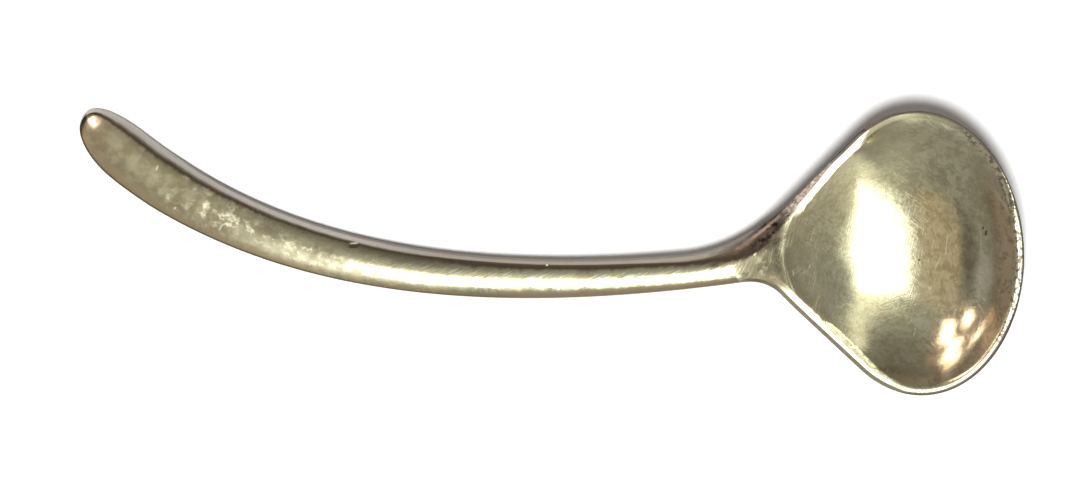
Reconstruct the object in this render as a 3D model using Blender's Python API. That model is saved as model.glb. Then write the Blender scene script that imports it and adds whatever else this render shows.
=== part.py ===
# Salt spoon: a dished pear-shaped bowl, a bowed bar handle and the soldered scarf joint between them.
# The spoon is drawn in its own frame: rim plane at z = 0, bowl centre at the origin, handle towards -x.
import math

import bmesh
import bpy
import numpy as np
from mathutils import Euler, Vector

# Bowl
BOWL_HALF_LENGTH = 0.0078
BOWL_HALF_WIDTH = 0.0110
FLANK_REACH = 0.0134          # bowl centre to the point where the straight flanks would meet
FLANK_SHIFT = 0.0002          # sideways place of that point
RIM_WIDTH = 0.0006
RIM_EDGE = 0.0004             # height of the rim's outer edge
RIM_FLAT = 0.7                # share of the rim's width that is level, before its broken outer edge
HOLLOW_DEPTH = 0.0042
HOLLOW_FULLNESS = 3.0         # 2 is a parabola, more is a flatter floor
HOLLOW_NOSE = 0.0064          # radius of the hollow's end at the neck
HOLLOW_MIDDLE = 0.0082        # half length of the level curves close to the deepest point
LEVEL_SQUARENESS = 2.8        # 2 makes those curves ellipses, more makes them squarer
OUTLINE_LATENESS = 3          # how late towards the rim they take on its pear shape
DEEPEST = Vector((-0.0032, -0.0008))   # deepest point, along and across the bowl
FLOOR_THICKNESS = 0.0007

# Neck
NECK_SETBACK = 0.00012        # joint point behind the flanks' meeting point
NECK_SHIFT = -0.00117         # joint point beside the flanks' meeting point
NECK_HEADING = math.radians(5.6)
NECK_WIDTH = 0.0021
WIDE_SWEEP = 0.0120           # concave radius from handle to flank on the outer side of the bow
TIGHT_SWEEP = 0.0034          # the same on the inner side
KEEL_WIDTH = 0.0020           # flat ridge that runs from the handle's back into the belly
KEEL_SLOPE = 0.0025           # width over which the ridge thins out to the rim's edge
KEEL_BLEND = 0.0010           # softness of the ridge's run into the belly
SPOUT = Vector((-0.0092, -0.0003))     # lowest place of the dip where the neck runs into the hollow
SPOUT_DEPTH = 0.0006
SPOUT_LENGTH = 0.0024
SPOUT_WIDTH = 0.0022

# Handle
HANDLE_REACH = 0.0480         # joint point to tip, along the spoon
HANDLE_SWING = 0.0128         # joint point to tip, sideways
TIP_HEADING = math.radians(47.8)
NECK_PULL = 0.0180            # how far the neck's direction holds along the bow
TIP_PULL = 0.0178             # how far the tip's direction holds
HANDLE_WIDTH = 0.0037
HANDLE_THICKNESS = 0.0022
WIDEST_FROM_TIP = 0.0080
TAPER_POWER = 1.4
TIP_ROUND = 0.0046            # length of the rounded end in plan
TIP_BLUNTNESS = 2.2
TIP_FALL = 0.0012             # radius of the rounded end in side view
CROWN = 0.00033               # height of the domed face
EDGE_SOFTNESS = 0.00014       # extra fall at the broken edges
EDGE_POWER = 12               # how late across the width that fall begins

# Soldered joint
SCARF_ANGLE = math.radians(45.0)
SCARF_START = -0.0004         # where the slanting joint leaves the face, along the neck
SOLDER = 0.0003
JOINT_GAP = 0.0003
JOINT_SPARE = 0.0010          # length left past the joint before it is cut

# Rest on a table
LEAN = math.radians(2.7)      # roll towards the inner side of the bow
TURN = math.radians(2.30)     # turn of the bowl's own length from the spoon's overall length
STEEPEST = math.radians(-15.0)
HALVINGS = 40                 # rounds of every search by halving

# Fineness of the meshes
RING_STEPS = 13
RIM_STEPS = 52
FLANK_STEPS = 4
RIM_ROWS = 2
NECK_STEPS = 8
HANDLE_STEPS = 44
TIP_STEPS = 15
CURVE_STEPS = 400
ACROSS = (-1.0, -0.93, -0.72, -0.38, 0.0, 0.38, 0.72, 0.93, 1.0)
WELD = 1e-7
CREASE = math.radians(35.0)

UPPER = 1.0
LOWER = -1.0


# Plan curves

def along(heading):
    return Vector((math.cos(heading), math.sin(heading)))


def flank_touch(half_length, half_width, meet):
    """Ellipse angles where the straight flanks from the meeting point touch the bowl, upper one first."""
    squeezed = Vector((meet.x, meet.y * half_length / half_width))
    facing = math.atan2(squeezed.y, squeezed.x) % math.tau
    spread = math.acos(half_length / squeezed.length)
    return facing - spread, facing + spread


def ellipse_point(half_length, half_width, angle):
    return Vector((half_length * math.cos(angle), half_width * math.sin(angle)))


def flank_direction(side, meet):
    """Direction of one outer flank, from the meeting point to where it touches the bowl."""
    angles = flank_touch(BOWL_HALF_LENGTH, BOWL_HALF_WIDTH, meet)
    touch = ellipse_point(BOWL_HALF_LENGTH, BOWL_HALF_WIDTH, angles[0] if side == UPPER else angles[1])
    return (touch - meet).normalized()


def bowl_curve(half_length, half_width, meet, starts):
    """Rim curve from the start on the upper flank, round the bowl, to the start on the lower flank."""
    upper, lower = flank_touch(half_length, half_width, meet)
    sweep = np.linspace(upper, lower - math.tau, RIM_STEPS + 1)
    round_part = [ellipse_point(half_length, half_width, angle) for angle in sweep]
    shares = np.linspace(0.0, 1.0, FLANK_STEPS, endpoint=False)
    first = [starts[0].lerp(round_part[0], share) for share in shares]
    last = [starts[1].lerp(round_part[-1], share) for share in shares]
    return first + round_part + last[::-1]


MEET = Vector((-FLANK_REACH, FLANK_SHIFT))
NECK = MEET + Vector((-NECK_SETBACK, NECK_SHIFT))
NECK_ALONG = along(NECK_HEADING)
NECK_ACROSS = Vector((-NECK_ALONG.y, NECK_ALONG.x))
FLANKS = {side: flank_direction(side, MEET) for side in (UPPER, LOWER)}
SWEEPS = {UPPER: WIDE_SWEEP, LOWER: TIGHT_SWEEP}


def sweep_start(side):
    """Where the concave sweep leaves the straight neck edge, along the neck, and how long it is there."""
    edge = NECK + NECK_ACROSS * (side * NECK_WIDTH / 2)
    flank = FLANKS[side]
    gap = MEET - edge
    corner = (gap.x * flank.y - gap.y * flank.x) / (NECK_ALONG.x * flank.y - NECK_ALONG.y * flank.x)
    turn = NECK_ALONG.angle(flank)
    return corner - SWEEPS[side] * math.tan(turn / 2), SWEEPS[side] * math.sin(turn)


SWEEP_STARTS = {side: sweep_start(side) for side in (UPPER, LOWER)}


def sweep_flare(place, side):
    """Extra half width that the concave sweep adds at a place along the neck."""
    start, length = SWEEP_STARTS[side]
    run = min(max(place - start, 0.0), length)
    return SWEEPS[side] - math.sqrt(SWEEPS[side] ** 2 - run ** 2)


def neck_edge(place, side):
    half = NECK_WIDTH / 2 + sweep_flare(place, side)
    return NECK + NECK_ALONG * place + NECK_ACROSS * (side * half)


# The bowl's hollow and belly outlines
HALF_ANGLE = FLANKS[UPPER].angle(FLANKS[LOWER]) / 2
INNER_LENGTH = BOWL_HALF_LENGTH - RIM_WIDTH
INNER_WIDTH = BOWL_HALF_WIDTH - RIM_WIDTH
BISECTOR = (FLANKS[UPPER] + FLANKS[LOWER]).normalized()
INNER_MEET = MEET + BISECTOR * (RIM_WIDTH / math.sin(HALF_ANGLE))
BELLY_NOSE = HOLLOW_NOSE + RIM_WIDTH


def nose_ends(meet, radius):
    reach = radius / math.tan(HALF_ANGLE)
    return meet + FLANKS[UPPER] * reach, meet + FLANKS[LOWER] * reach


def nose_point(meet, radius, share):
    """Point on the rounded end between the flanks: share -1 at the lower flank, 1 at the upper one."""
    centre = meet + BISECTOR * (radius / math.sin(HALF_ANGLE))
    facing = math.atan2(BISECTOR.y, BISECTOR.x)
    swing = math.pi / 2 - HALF_ANGLE
    return centre - along(facing - share * swing) * radius


HOLLOW_ENDS = nose_ends(INNER_MEET, HOLLOW_NOSE)
HOLLOW_CURVE = bowl_curve(INNER_LENGTH, INNER_WIDTH, INNER_MEET, HOLLOW_ENDS)
RIM_ENDS = [MEET + FLANKS[side] * (end - MEET).dot(FLANKS[side])
            for side, end in zip((UPPER, LOWER), HOLLOW_ENDS)]
RIM_CURVE = bowl_curve(BOWL_HALF_LENGTH, BOWL_HALF_WIDTH, MEET, RIM_ENDS)
HOLLOW_LOOP = HOLLOW_CURVE + [nose_point(INNER_MEET, HOLLOW_NOSE, share) for share in ACROSS[1:-1]]
BELLY_LOOP = bowl_curve(BOWL_HALF_LENGTH, BOWL_HALF_WIDTH, MEET, nose_ends(MEET, BELLY_NOSE))
BELLY_LOOP = BELLY_LOOP + [nose_point(MEET, BELLY_NOSE, share) for share in ACROSS[1:-1]]


class Levels:
    """Level curves of a bowl: squarish ovals round the deepest point that grow into the outline."""

    def __init__(self, loop, half_length, half_width):
        self.angles = np.array([math.atan2(point.y, point.x) for point in loop])
        self.radii = np.array([point.length for point in loop])
        self.half_length = half_length
        self.half_width = half_width

    def middle(self, share):
        return DEEPEST * (1.0 - share ** 2)

    def radius(self, share, angle):
        sides = abs(math.cos(angle) / self.half_length), abs(math.sin(angle) / self.half_width)
        oval = sum(side ** LEVEL_SQUARENESS for side in sides) ** (-1.0 / LEVEL_SQUARENESS)
        outline = np.interp(angle, self.angles, self.radii, period=math.tau)
        return share * (oval + (outline - oval) * share ** OUTLINE_LATENESS)

    def point(self, share, angle):
        return self.middle(share) + along(angle) * self.radius(share, angle)

    def share_at(self, point):
        """Which level curve runs through a point: 0 at the deepest point, 1 on the outline and past it."""
        low, high = 0.0, 1.0
        for _ in range(HALVINGS):
            share = (low + high) / 2
            arm = point - self.middle(share)
            if self.radius(share, math.atan2(arm.y, arm.x)) < arm.length:
                low = share
            else:
                high = share
        return high


HOLLOW = Levels(HOLLOW_LOOP, HOLLOW_MIDDLE, INNER_WIDTH)
BELLY = Levels(BELLY_LOOP, HOLLOW_MIDDLE + RIM_WIDTH, BOWL_HALF_WIDTH)


# Heights of the two skins

def smooth_step(value):
    share = min(max(value, 0.0), 1.0)
    return share * share * (3.0 - 2.0 * share)


def smooth_max(first, second, softness):
    overlap = max(softness - abs(first - second), 0.0) / softness
    return max(first, second) + overlap * overlap * softness / 4.0


def belly_depth(point):
    fall = HOLLOW_DEPTH + FLOOR_THICKNESS - RIM_EDGE
    return RIM_EDGE + fall * (1.0 - BELLY.share_at(point) ** HOLLOW_FULLNESS)


def spout(point):
    """Soft dip that leads from the neck into the hollow."""
    from_lowest = point - SPOUT
    return SPOUT_DEPTH * math.exp(-(from_lowest.x / SPOUT_LENGTH) ** 2 - (from_lowest.y / SPOUT_WIDTH) ** 2)


def keel_depth(point):
    """Depth of the ridge that carries the handle's full thickness under the neck."""
    from_neck = point - NECK
    scarf_end = SCARF_START + HANDLE_THICKNESS / math.tan(SCARF_ANGLE)
    beside = abs(from_neck.dot(NECK_ACROSS)) - KEEL_WIDTH / 2
    past_joint = from_neck.dot(NECK_ALONG) - scarf_end
    thinning = smooth_step(beside / KEEL_SLOPE) * smooth_step(past_joint / KEEL_SLOPE)
    return HANDLE_THICKNESS + (RIM_EDGE - HANDLE_THICKNESS) * thinning


def underside(point):
    behind = (point - NECK).dot(NECK_ALONG)
    if behind > FLANK_REACH:
        return -belly_depth(point)
    return -smooth_max(belly_depth(point), keel_depth(point), KEEL_BLEND)


def face_fall(share):
    """Fall of the domed face from its crown: share runs from -1 to 1 across the width."""
    return CROWN * share ** 2


def edge_fall(share):
    """Extra fall of the face at its broken edges."""
    return EDGE_SOFTNESS * abs(share) ** EDGE_POWER


def back_rise(share):
    """Narrow broken edge along the otherwise flat back."""
    return EDGE_SOFTNESS if abs(share) == 1.0 else 0.0


def column(point, top, bottom):
    return point.x, point.y, top, bottom


def bowl_column(point, fall, rise=0.0):
    """Column of the bowl: its upper skin lies a fall below the rim plane, and lower in the spout."""
    return column(point, -fall - spout(point), underside(point) + rise)


# The bowl's plan, as rows of columns

def hollow_rows():
    angles = list(HOLLOW.angles) + [HOLLOW.angles[0]]
    rows = []
    for ring in range(1, RING_STEPS + 1):
        share = math.sin(math.pi / 2 * ring / RING_STEPS)
        fall = HOLLOW_DEPTH * (1.0 - share ** HOLLOW_FULLNESS)
        rows.append([bowl_column(HOLLOW.point(share, angle), fall) for angle in angles])
    return rows


def rim_rows():
    middle = [inner.lerp(outer, RIM_FLAT) for inner, outer in zip(HOLLOW_CURVE, RIM_CURVE)]
    rows = []
    for curve, fall in ((HOLLOW_CURVE, 0.0), (middle, 0.0), (RIM_CURVE, EDGE_SOFTNESS)):
        rows.append([bowl_column(point, fall) for point in curve])
    return rows


def plate_side(side):
    """Outer line of the neck plate on one side, from the hollow's end to the cut end of the neck."""
    pick = 0 if side == UPPER else -1
    inner = HOLLOW_CURVE[pick]
    outer = RIM_CURVE[pick]
    start, length = SWEEP_STARTS[side]
    flank_end = neck_edge(start + length, side)
    flank = [outer.lerp(flank_end, share) for share in np.linspace(0.0, 1.0, FLANK_STEPS + 1)]
    places = np.linspace(start + length, SCARF_START - JOINT_SPARE, NECK_STEPS + 1)
    neck = [neck_edge(place, side) for place in places[1:]]
    return [inner, inner.lerp(outer, RIM_FLAT)] + flank + neck


def plate_rows():
    upper = plate_side(UPPER)
    lower = plate_side(LOWER)
    last = len(upper) - 1
    rows = []
    for row, (high, low) in enumerate(zip(upper, lower)):
        doming = max(row - RIM_ROWS, 0) / (last - RIM_ROWS)
        columns = []
        for share in ACROSS:
            chord = lower[0].lerp(upper[0], (share + 1) / 2)
            bulge = nose_point(INNER_MEET, HOLLOW_NOSE, share) - chord
            point = low.lerp(high, (share + 1) / 2) + bulge * (1.0 - row / last)
            fall = face_fall(share) * doming + (edge_fall(share) if row >= RIM_ROWS else 0.0)
            columns.append(bowl_column(point, fall, back_rise(share) * doming))
        rows.append(columns)
    return rows


# The handle's plan, as rows of columns

def bow():
    """Places and points along the handle's bow, from the joint point to the tip."""
    tip = NECK + Vector((-HANDLE_REACH, HANDLE_SWING))
    ends = (NECK, NECK - NECK_ALONG * NECK_PULL, tip + along(-TIP_HEADING) * TIP_PULL, tip)
    share = np.linspace(0.0, 1.0, CURVE_STEPS + 1)[:, None]
    weights = ((1 - share) ** 3, 3 * (1 - share) ** 2 * share, 3 * (1 - share) * share ** 2, share ** 3)
    points = sum(weight * np.array(end) for weight, end in zip(weights, ends))
    steps = np.linalg.norm(np.diff(points, axis=0), axis=1)
    return np.concatenate(([0.0], np.cumsum(steps))), points


def handle_half_width(place, length):
    growth = min(max(place, 0.0) / (length - WIDEST_FROM_TIP), 1.0) ** TAPER_POWER
    half = (NECK_WIDTH + (HANDLE_WIDTH - NECK_WIDTH) * growth) / 2
    into_tip = min(max(1.0 - (length - place) / TIP_ROUND, 0.0), 1.0)
    return half * (1.0 - into_tip ** TIP_BLUNTNESS) ** (1.0 / TIP_BLUNTNESS)


def tip_fall(from_tip):
    into_end = max(TIP_FALL - from_tip, 0.0)
    return TIP_FALL - math.sqrt(TIP_FALL ** 2 - into_end ** 2)


def handle_rows():
    places, points = bow()
    length = places[-1]
    slopes = np.gradient(points, axis=0)
    scarf_end = SCARF_START + HANDLE_THICKNESS / math.tan(SCARF_ANGLE)
    neck = np.linspace(-(scarf_end + JOINT_SPARE), 0.0, NECK_STEPS, endpoint=False)
    body = np.linspace(0.0, length - TIP_ROUND, HANDLE_STEPS, endpoint=False)
    tip = length - TIP_ROUND * (1.0 - np.sin(np.linspace(0.0, math.pi / 2, TIP_STEPS + 2)[:-1]))
    rows = []
    for place in np.concatenate((neck, body, tip)):
        centre = NECK - NECK_ALONG * min(place, 0.0)
        forward = NECK_ALONG
        if place > 0.0:
            centre = Vector([np.interp(place, places, points[:, axis]) for axis in (0, 1)])
            forward = -Vector([np.interp(place, places, slopes[:, axis]) for axis in (0, 1)]).normalized()
        across = Vector((-forward.y, forward.x))
        half = handle_half_width(place, length)
        columns = []
        for share in ACROSS:
            side = UPPER if share > 0.0 else LOWER
            reach = share * (half + sweep_flare(-place, side))
            top = -face_fall(share) - edge_fall(share) - tip_fall(length - place)
            bottom = -HANDLE_THICKNESS + back_rise(share)
            columns.append(column(centre + across * reach, top, bottom))
        rows.append(columns)
    return rows


# From plan to solid

def cells_of(rows):
    cells = []
    for first, second in zip(rows, rows[1:]):
        for step in range(len(first) - 1):
            cells.append((first[step], first[step + 1], second[step + 1], second[step]))
    return cells


def fan_of(row, centre):
    return [(centre, row[step], row[step + 1]) for step in range(len(row) - 1)]


def solid_of(cells):
    """Closed body between the upper and the lower height of every column."""
    body = bmesh.new()
    depth = body.verts.layers.float.new("depth")
    for cell in cells:
        corners = []
        for x, y, top, bottom in cell:
            corner = body.verts.new((x, y, top))
            corner[depth] = bottom
            corners.append(corner)
        body.faces.new(corners)
    bmesh.ops.remove_doubles(body, verts=body.verts, dist=WELD)
    grown = bmesh.ops.extrude_face_region(body, geom=body.faces[:], use_keep_orig=True)
    for piece in grown["geom"]:
        if isinstance(piece, bmesh.types.BMVert):
            piece.co.z = piece[depth]
    bmesh.ops.recalc_face_normals(body, faces=body.faces)
    return body


def cut(body, shift, towards_bowl):
    """Cut along the scarf, moved by a shift towards the bowl, and keep one side."""
    normal = (NECK_ALONG * math.sin(SCARF_ANGLE)).to_3d() + Vector((0.0, 0.0, math.cos(SCARF_ANGLE)))
    place = (NECK + NECK_ALONG * SCARF_START).to_3d() + normal * shift
    parts = body.verts[:] + body.edges[:] + body.faces[:]
    done = bmesh.ops.bisect_plane(body, geom=parts, dist=WELD, plane_co=place, plane_no=normal,
                                  clear_inner=towards_bowl, clear_outer=not towards_bowl)
    edges = [item for item in done["geom_cut"] if isinstance(item, bmesh.types.BMEdge)]
    bmesh.ops.contextual_create(body, geom=edges)
    bmesh.ops.recalc_face_normals(body, faces=body.faces)


def metal(name, colour, roughness):
    material = bpy.data.materials.new(name)
    material.use_nodes = True
    shader = material.node_tree.nodes["Principled BSDF"]
    shader.inputs["Base Color"].default_value = (*colour, 1.0)
    shader.inputs["Metallic"].default_value = 1.0
    shader.inputs["Roughness"].default_value = roughness
    return material


def piece_of(name, body, material, carrier):
    mesh = bpy.data.meshes.new(name)
    body.to_mesh(mesh)
    body.free()
    mesh.shade_smooth()
    mesh.set_sharp_from_angle(angle=CREASE)
    mesh.materials.append(material)
    piece = bpy.data.objects.new(name, mesh)
    bpy.context.collection.objects.link(piece)
    piece.parent = carrier
    return piece


# Pieces

def make_bowl(carrier):
    hollow = hollow_rows()
    centre = bowl_column(DEEPEST, HOLLOW_DEPTH)
    cells = fan_of(hollow[0], centre) + cells_of(hollow) + cells_of(rim_rows()) + cells_of(plate_rows())
    body = solid_of(cells)
    cut(body, SOLDER / 2 + JOINT_GAP, towards_bowl=True)
    return piece_of("bowl", body, metal("bowl_silver", (0.56, 0.53, 0.43), 0.24), carrier)


def make_handle(carrier):
    body = solid_of(cells_of(handle_rows()))
    cut(body, -SOLDER / 2 - JOINT_GAP, towards_bowl=False)
    return piece_of("handle", body, metal("handle_silver", (0.58, 0.55, 0.45), 0.3), carrier)


def make_solder_seam(carrier):
    body = solid_of(cells_of(handle_rows()))
    cut(body, SOLDER / 2, towards_bowl=False)
    cut(body, -SOLDER / 2, towards_bowl=True)
    return piece_of("solder_seam", body, metal("solder", (0.34, 0.30, 0.24), 0.45), carrier)


# Rest pose on the table

def turned(pieces, pitch):
    turn = np.array(Euler((LEAN, pitch, TURN), "ZYX").to_matrix())
    clouds = []
    for piece in pieces:
        corners = np.array([vertex.co for vertex in piece.data.vertices])
        clouds.append(corners @ turn.T)
    return clouds


def lay_down(carrier, pieces):
    """Lean the spoon over and lower its tip until the belly and the handle both touch the table."""
    steep, level = STEEPEST, 0.0
    for _ in range(HALVINGS):
        pitch = (steep + level) / 2
        bowl, handle, _ = turned(pieces, pitch)
        if handle[:, 2].min() > bowl[:, 2].min():
            level = pitch
        else:
            steep = pitch
    every = np.concatenate(turned(pieces, pitch))
    low, high = every.min(axis=0), every.max(axis=0)
    carrier.rotation_mode = "ZYX"
    carrier.rotation_euler = (LEAN, pitch, TURN)
    carrier.location = (-(low[0] + high[0]) / 2, -(low[1] + high[1]) / 2, -low[2])


def main():
    for item in list(bpy.data.objects):
        bpy.data.objects.remove(item)
    carrier = bpy.data.objects.new("rest_pose", None)
    bpy.context.collection.objects.link(carrier)
    pieces = (make_bowl(carrier), make_handle(carrier), make_solder_seam(carrier))
    lay_down(carrier, pieces)


main()
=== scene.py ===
# A small hand-made silver salt spoon lying on a white table, seen from above.
# Every piece is first drawn in the spoon's own frame: rim plane at z = 0, bowl centre at the origin,
# handle towards -x. It is then laid down on the table, on its belly and the handle's lower edge.
import math

import bmesh
import bpy
import numpy as np
from mathutils import Euler, Matrix, Vector, noise


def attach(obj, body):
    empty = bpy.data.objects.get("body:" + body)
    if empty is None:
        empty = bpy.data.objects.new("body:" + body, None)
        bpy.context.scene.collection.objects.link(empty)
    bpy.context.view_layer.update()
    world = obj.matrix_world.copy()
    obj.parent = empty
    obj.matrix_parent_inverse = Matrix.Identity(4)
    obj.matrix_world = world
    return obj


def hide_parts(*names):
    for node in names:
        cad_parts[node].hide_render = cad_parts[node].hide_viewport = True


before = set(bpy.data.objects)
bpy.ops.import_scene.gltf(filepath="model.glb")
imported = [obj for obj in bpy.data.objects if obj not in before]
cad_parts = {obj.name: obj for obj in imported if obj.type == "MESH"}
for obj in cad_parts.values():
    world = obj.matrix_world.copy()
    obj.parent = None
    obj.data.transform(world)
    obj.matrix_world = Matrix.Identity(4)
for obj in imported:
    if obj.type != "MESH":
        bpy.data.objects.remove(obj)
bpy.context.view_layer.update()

# Bowl
BOWL_HALF_LENGTH = 0.0078
BOWL_HALF_WIDTH = 0.0110
FLANK_REACH = 0.0134
FLANK_SHIFT = 0.0002
RIM_WIDTH = 0.0006
RIM_EDGE = 0.0004
RIM_OUTER_ROUND = 0.00016
RIM_INNER_ROUND = 0.00016
TOP_INNER_ROUND = 0.00120  # rounding of the rim's inner edge along the worn top of the bowl
TOP_BEGINS = 0.30  # angle from the bowl's length where the worn top begins
TOP_RISE = 0.50
TOP_ENDS = 1.70
TOP_FALL = 0.35
NOSE_INNER_ROUND = 0.00090  # rounding where the neck runs into the hollow
NOSE_BEGINS = 2.70
NOSE_RISE = 0.25
NOSE_SOFTENED = 1.0  # millimetres to each side of the hollow's end that are evened out
NOSE_END = 7.5  # millimetres from the joint where that stops
NOSE_PASSES = 24
NOSE_FACTOR = 0.5
HOLLOW_DEPTH = 0.0042
HOLLOW_POWER = 3.0  # 2 is a parabola, more is a flatter floor
HOLLOW_NOSE = 0.0064
HOLLOW_MIDDLE = 0.0082  # half length of the hollow's level curves near its deepest point
DEEPEST = Vector((-0.0032, -0.0008))
SQUARENESS = 2.8  # 2 makes those curves ellipses, more makes them squarer
OUTLINE_LATENESS = 3  # how late towards the rim they take on its pear shape
FLOOR_THICKNESS = 0.0007
LEAST_THICKNESS = 0.00002

# Neck
NECK_SETBACK = 0.00012
NECK_SHIFT = -0.00117
NECK_HEADING = math.radians(5.6)
NECK_WIDTH = 0.0021
WIDE_SWEEP = 0.0120
TIGHT_SWEEP = 0.0034
KEEL_WIDTH = 0.0020
KEEL_SLOPE = 0.0025
KEEL_BLEND = 0.0010
NECK_STARTS = -0.0002  # where the handle's section begins to give way to the plate
NECK_RUN = 0.0042
CROWN_STARTS = 0.0014  # where the dome of the lower half begins to flatten
CROWN_RUN = 0.0032
PLATE_SPARE = 0.0012  # length left past the joint before it is cut
SPOUT = Vector((-0.0092, -0.0003))  # lowest place of the dip where the neck runs into the hollow
SPOUT_DEPTH = 0.0006
SPOUT_LENGTH = 0.0024
SPOUT_WIDTH = 0.0022
SHOULDER = 0.00060  # fall of the softened upper edge of the neck
SHOULDER_WIDTH = 0.0013
SHOULDER_STARTS = 0.0025  # where the shoulder begins to fade
SHOULDER_RUN = 0.0045
SHOULDER_END = 0.0075
LIP_WIDTH = 0.0011  # worn border of the rim
LIP_POWER = 1.5
RIGHT_LIP_FALL = 0.00018
RIGHT_LIP_SPREAD = 0.75  # angle over which the notches of the right lip fade out
NOTCH_SIZE = 0.00055
NOTCH_SEED = 5
CLOUD_SHIFT = (7.13, 3.71, 5.17)
CLOUD_GRADING = (1.0, 2.0, 2)  # how each finer layer fades and shrinks, and how many there are

# Handle
HANDLE_REACH = 0.0480
HANDLE_SWING = 0.0128
TIP_HEADING = math.radians(47.8)
NECK_PULL = 0.0180
TIP_PULL = 0.0178
HANDLE_WIDTH = 0.0037
HANDLE_THICKNESS = 0.0022
LOWER_SWELL = 0.00028  # how much fuller the wide end is on the outer side of the bow
SWELL_POWER = 0.5
WIDEST_FROM_TIP = 0.0080
TAPER_POWER = 1.4
TIP_ROUND = 0.0046
TIP_BLUNTNESS = 2.2
CROWN = 0.00033  # height of the domed face
WORN_EDGE = 7.0  # superellipse power of the face's edge on the outer side of the bow
CRISP_EDGE = 16.0  # that power on the inner side
NECK_EDGE = 2.8  # the worn edge's power where the neck begins
NECK_FADE = 0.0060  # how far that reaches along the handle
NECK_FADE_POWER = 1.5
TIP_EDGE = 4.0  # the worn edge's power at the tip
TIP_FADE = 0.0300
CROWN_GROWTH = 0.45  # how much more the wide end is domed
BACK_EDGE = 10.0  # power of the edges of the flat back
TIP_DROP = 0.0009  # how far the face sinks towards the tip
TIP_DROP_LENGTH = 0.0065
TIP_LOWERING = 0.9  # share of the half thickness that the rounded end loses
TIP_LOWERING_POWER = 1.5
BAR_SPARE = 0.0036  # length drawn past the joint before it is cut
JOINT_PULL = 0.0012
END_PULL = 0.0010
TIP_MARK = 53.0  # millimetres from the joint to the tip along the bow

# Soldered joint
SCARF_ANGLE = math.radians(45.0)
SCARF_START = -0.0004
SOLDER = 0.0003

# Rest on the table
LEAN = math.radians(2.7)
PITCH = math.radians(-3.116823)
TURN = math.radians(2.30)
REST_PLACE = Vector((0.0271596182, -0.0000095292, 0.0052133035))

# Fineness
RING_STEPS = 72
RIM_STEPS = 150
FLANK_STEPS = 10
RIM_ROWS = 12
NECK_STEPS = 44
ACROSS_STEPS = 46
HANDLE_STEPS = 420
SECTION_STEPS = 160
CURVE_STEPS = 200
TIP_CROWDING = 1.7  # more than 1 crowds the steps towards the tip
SECTION_CROWDING = 0.7  # less than 1 crowds them towards the section's edges
HALVINGS = 36  # rounds of the search for a level curve
LEVEL_MARGIN = 1e-6
NO_LENGTH = 1e-18
ALMOST = 0.99999
CREASE = math.radians(40.0)
WELD = 1e-7
MILLIMETRES = 1000.0

# Marks of use (scars, a stain), painted highlights (glints, a dent's lit edge), a dent's painted shade and
# painted reflections: place in millimetres on the table, half length, half width, turn, softness of the
# border
HANDLE_DENT_SHADE = ((-14.77, -0.05), 0.36, 0.10, 0.0)
HANDLE_DENT_HIGHLIGHT = ((-14.70, 0.16), 0.34, 0.06, 0.0)
HANDLE_PAINTED_GLINTS = (((-0.36, -1.38), 0.08, 0.04, 0.0), ((-29.28, 5.87), 0.20, 0.08, 1.2),
                 ((-27.98, 2.77), 0.14, 0.08, 0.9), ((-24.35, 1.60), 0.35, 0.06, 0.5),
                 ((-23.80, 1.90), 0.30, 0.05, -0.4), ((-23.50, 1.40), 0.28, 0.06, 0.2),
                 ((-24.60, 1.30), 0.25, 0.06, 1.0), ((-21.15, -0.09), 0.40, 0.07, -0.4),
                 ((-18.48, -0.24), 0.30, 0.05, 0.8), ((-22.33, 0.96), 0.30, 0.05, 1.4),
                 ((-21.67, 0.21), 0.25, 0.06, 0.3))
BOWL_PAINTED_GLINTS = (((28.15, -3.59), 0.15, 0.12, 0.0), ((29.33, -0.20), 0.80, 0.055, 1.50),
               ((28.68, -1.66), 0.55, 0.055, 1.20), ((15.05, -0.20), 0.15, 0.08, 0.9),
               ((17.92, -1.84), 0.22, 0.06, 1.7), ((19.16, -1.71), 0.14, 0.06, 1.2))
BOWL_SCARS = (((32.19, 1.19), 0.24, 0.09, 1.4), ((31.97, 1.54), 0.12, 0.07, 1.2),
              ((27.32, -1.49), 0.10, 0.08, 0.0))
NECK_STAIN = ((15.93, -1.27), 0.62, 0.45, 0.3, 0.8)
PALE_REFLECTION = ((32.10, -2.20), 1.55, 0.66, 1.45, 0.4)
BROWN_REFLECTED_BAND = ((30.95, -0.60), 4.2, 0.55, 1.48, 0.6)

# Colours of the metal and of the dirt on it, and of painted highlights, reflections and shade
BRIGHT = (0.66, 0.65, 0.475, 1.0)
OLIVE = (0.555, 0.505, 0.32, 1.0)
BROWN = (0.42, 0.35, 0.225, 1.0)
DULL = (0.29, 0.26, 0.17, 1.0)
TAN = (0.37, 0.345, 0.245, 1.0)
SHADE = (0.22, 0.205, 0.145, 1.0)
PLATE = (0.17, 0.155, 0.10, 1.0)
# painted pale reflection inside the hollow
REFLECTION_PATCH = (0.84, 0.76, 0.58, 1.0)
# painted highlight colour, for glints, the tip's highlight and sparkle on the pale wall
PAINTED_GLINT = (0.86, 0.84, 0.70, 1.0)
# painted reflection of the table
PINK_REFLECTION = (0.50, 0.41, 0.36, 1.0)
# side wall: darker copies of the metal, darkest at the foot, as painted shade
WALL = (0.43, 0.39, 0.345, 1.0)
DARK_WALL = (0.20, 0.185, 0.155, 1.0)
FOOT_SHADE = (0.18, 0.165, 0.14, 1.0)
OUTSIDE = (0.24, 0.205, 0.18, 1.0)
# dark dirt, and the painted shade of the crease, the shoulder and the lower edge
GRIME_AND_SHADE = (0.085, 0.065, 0.045, 1.0)
PIT = (0.020, 0.014, 0.012, 1.0)
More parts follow.
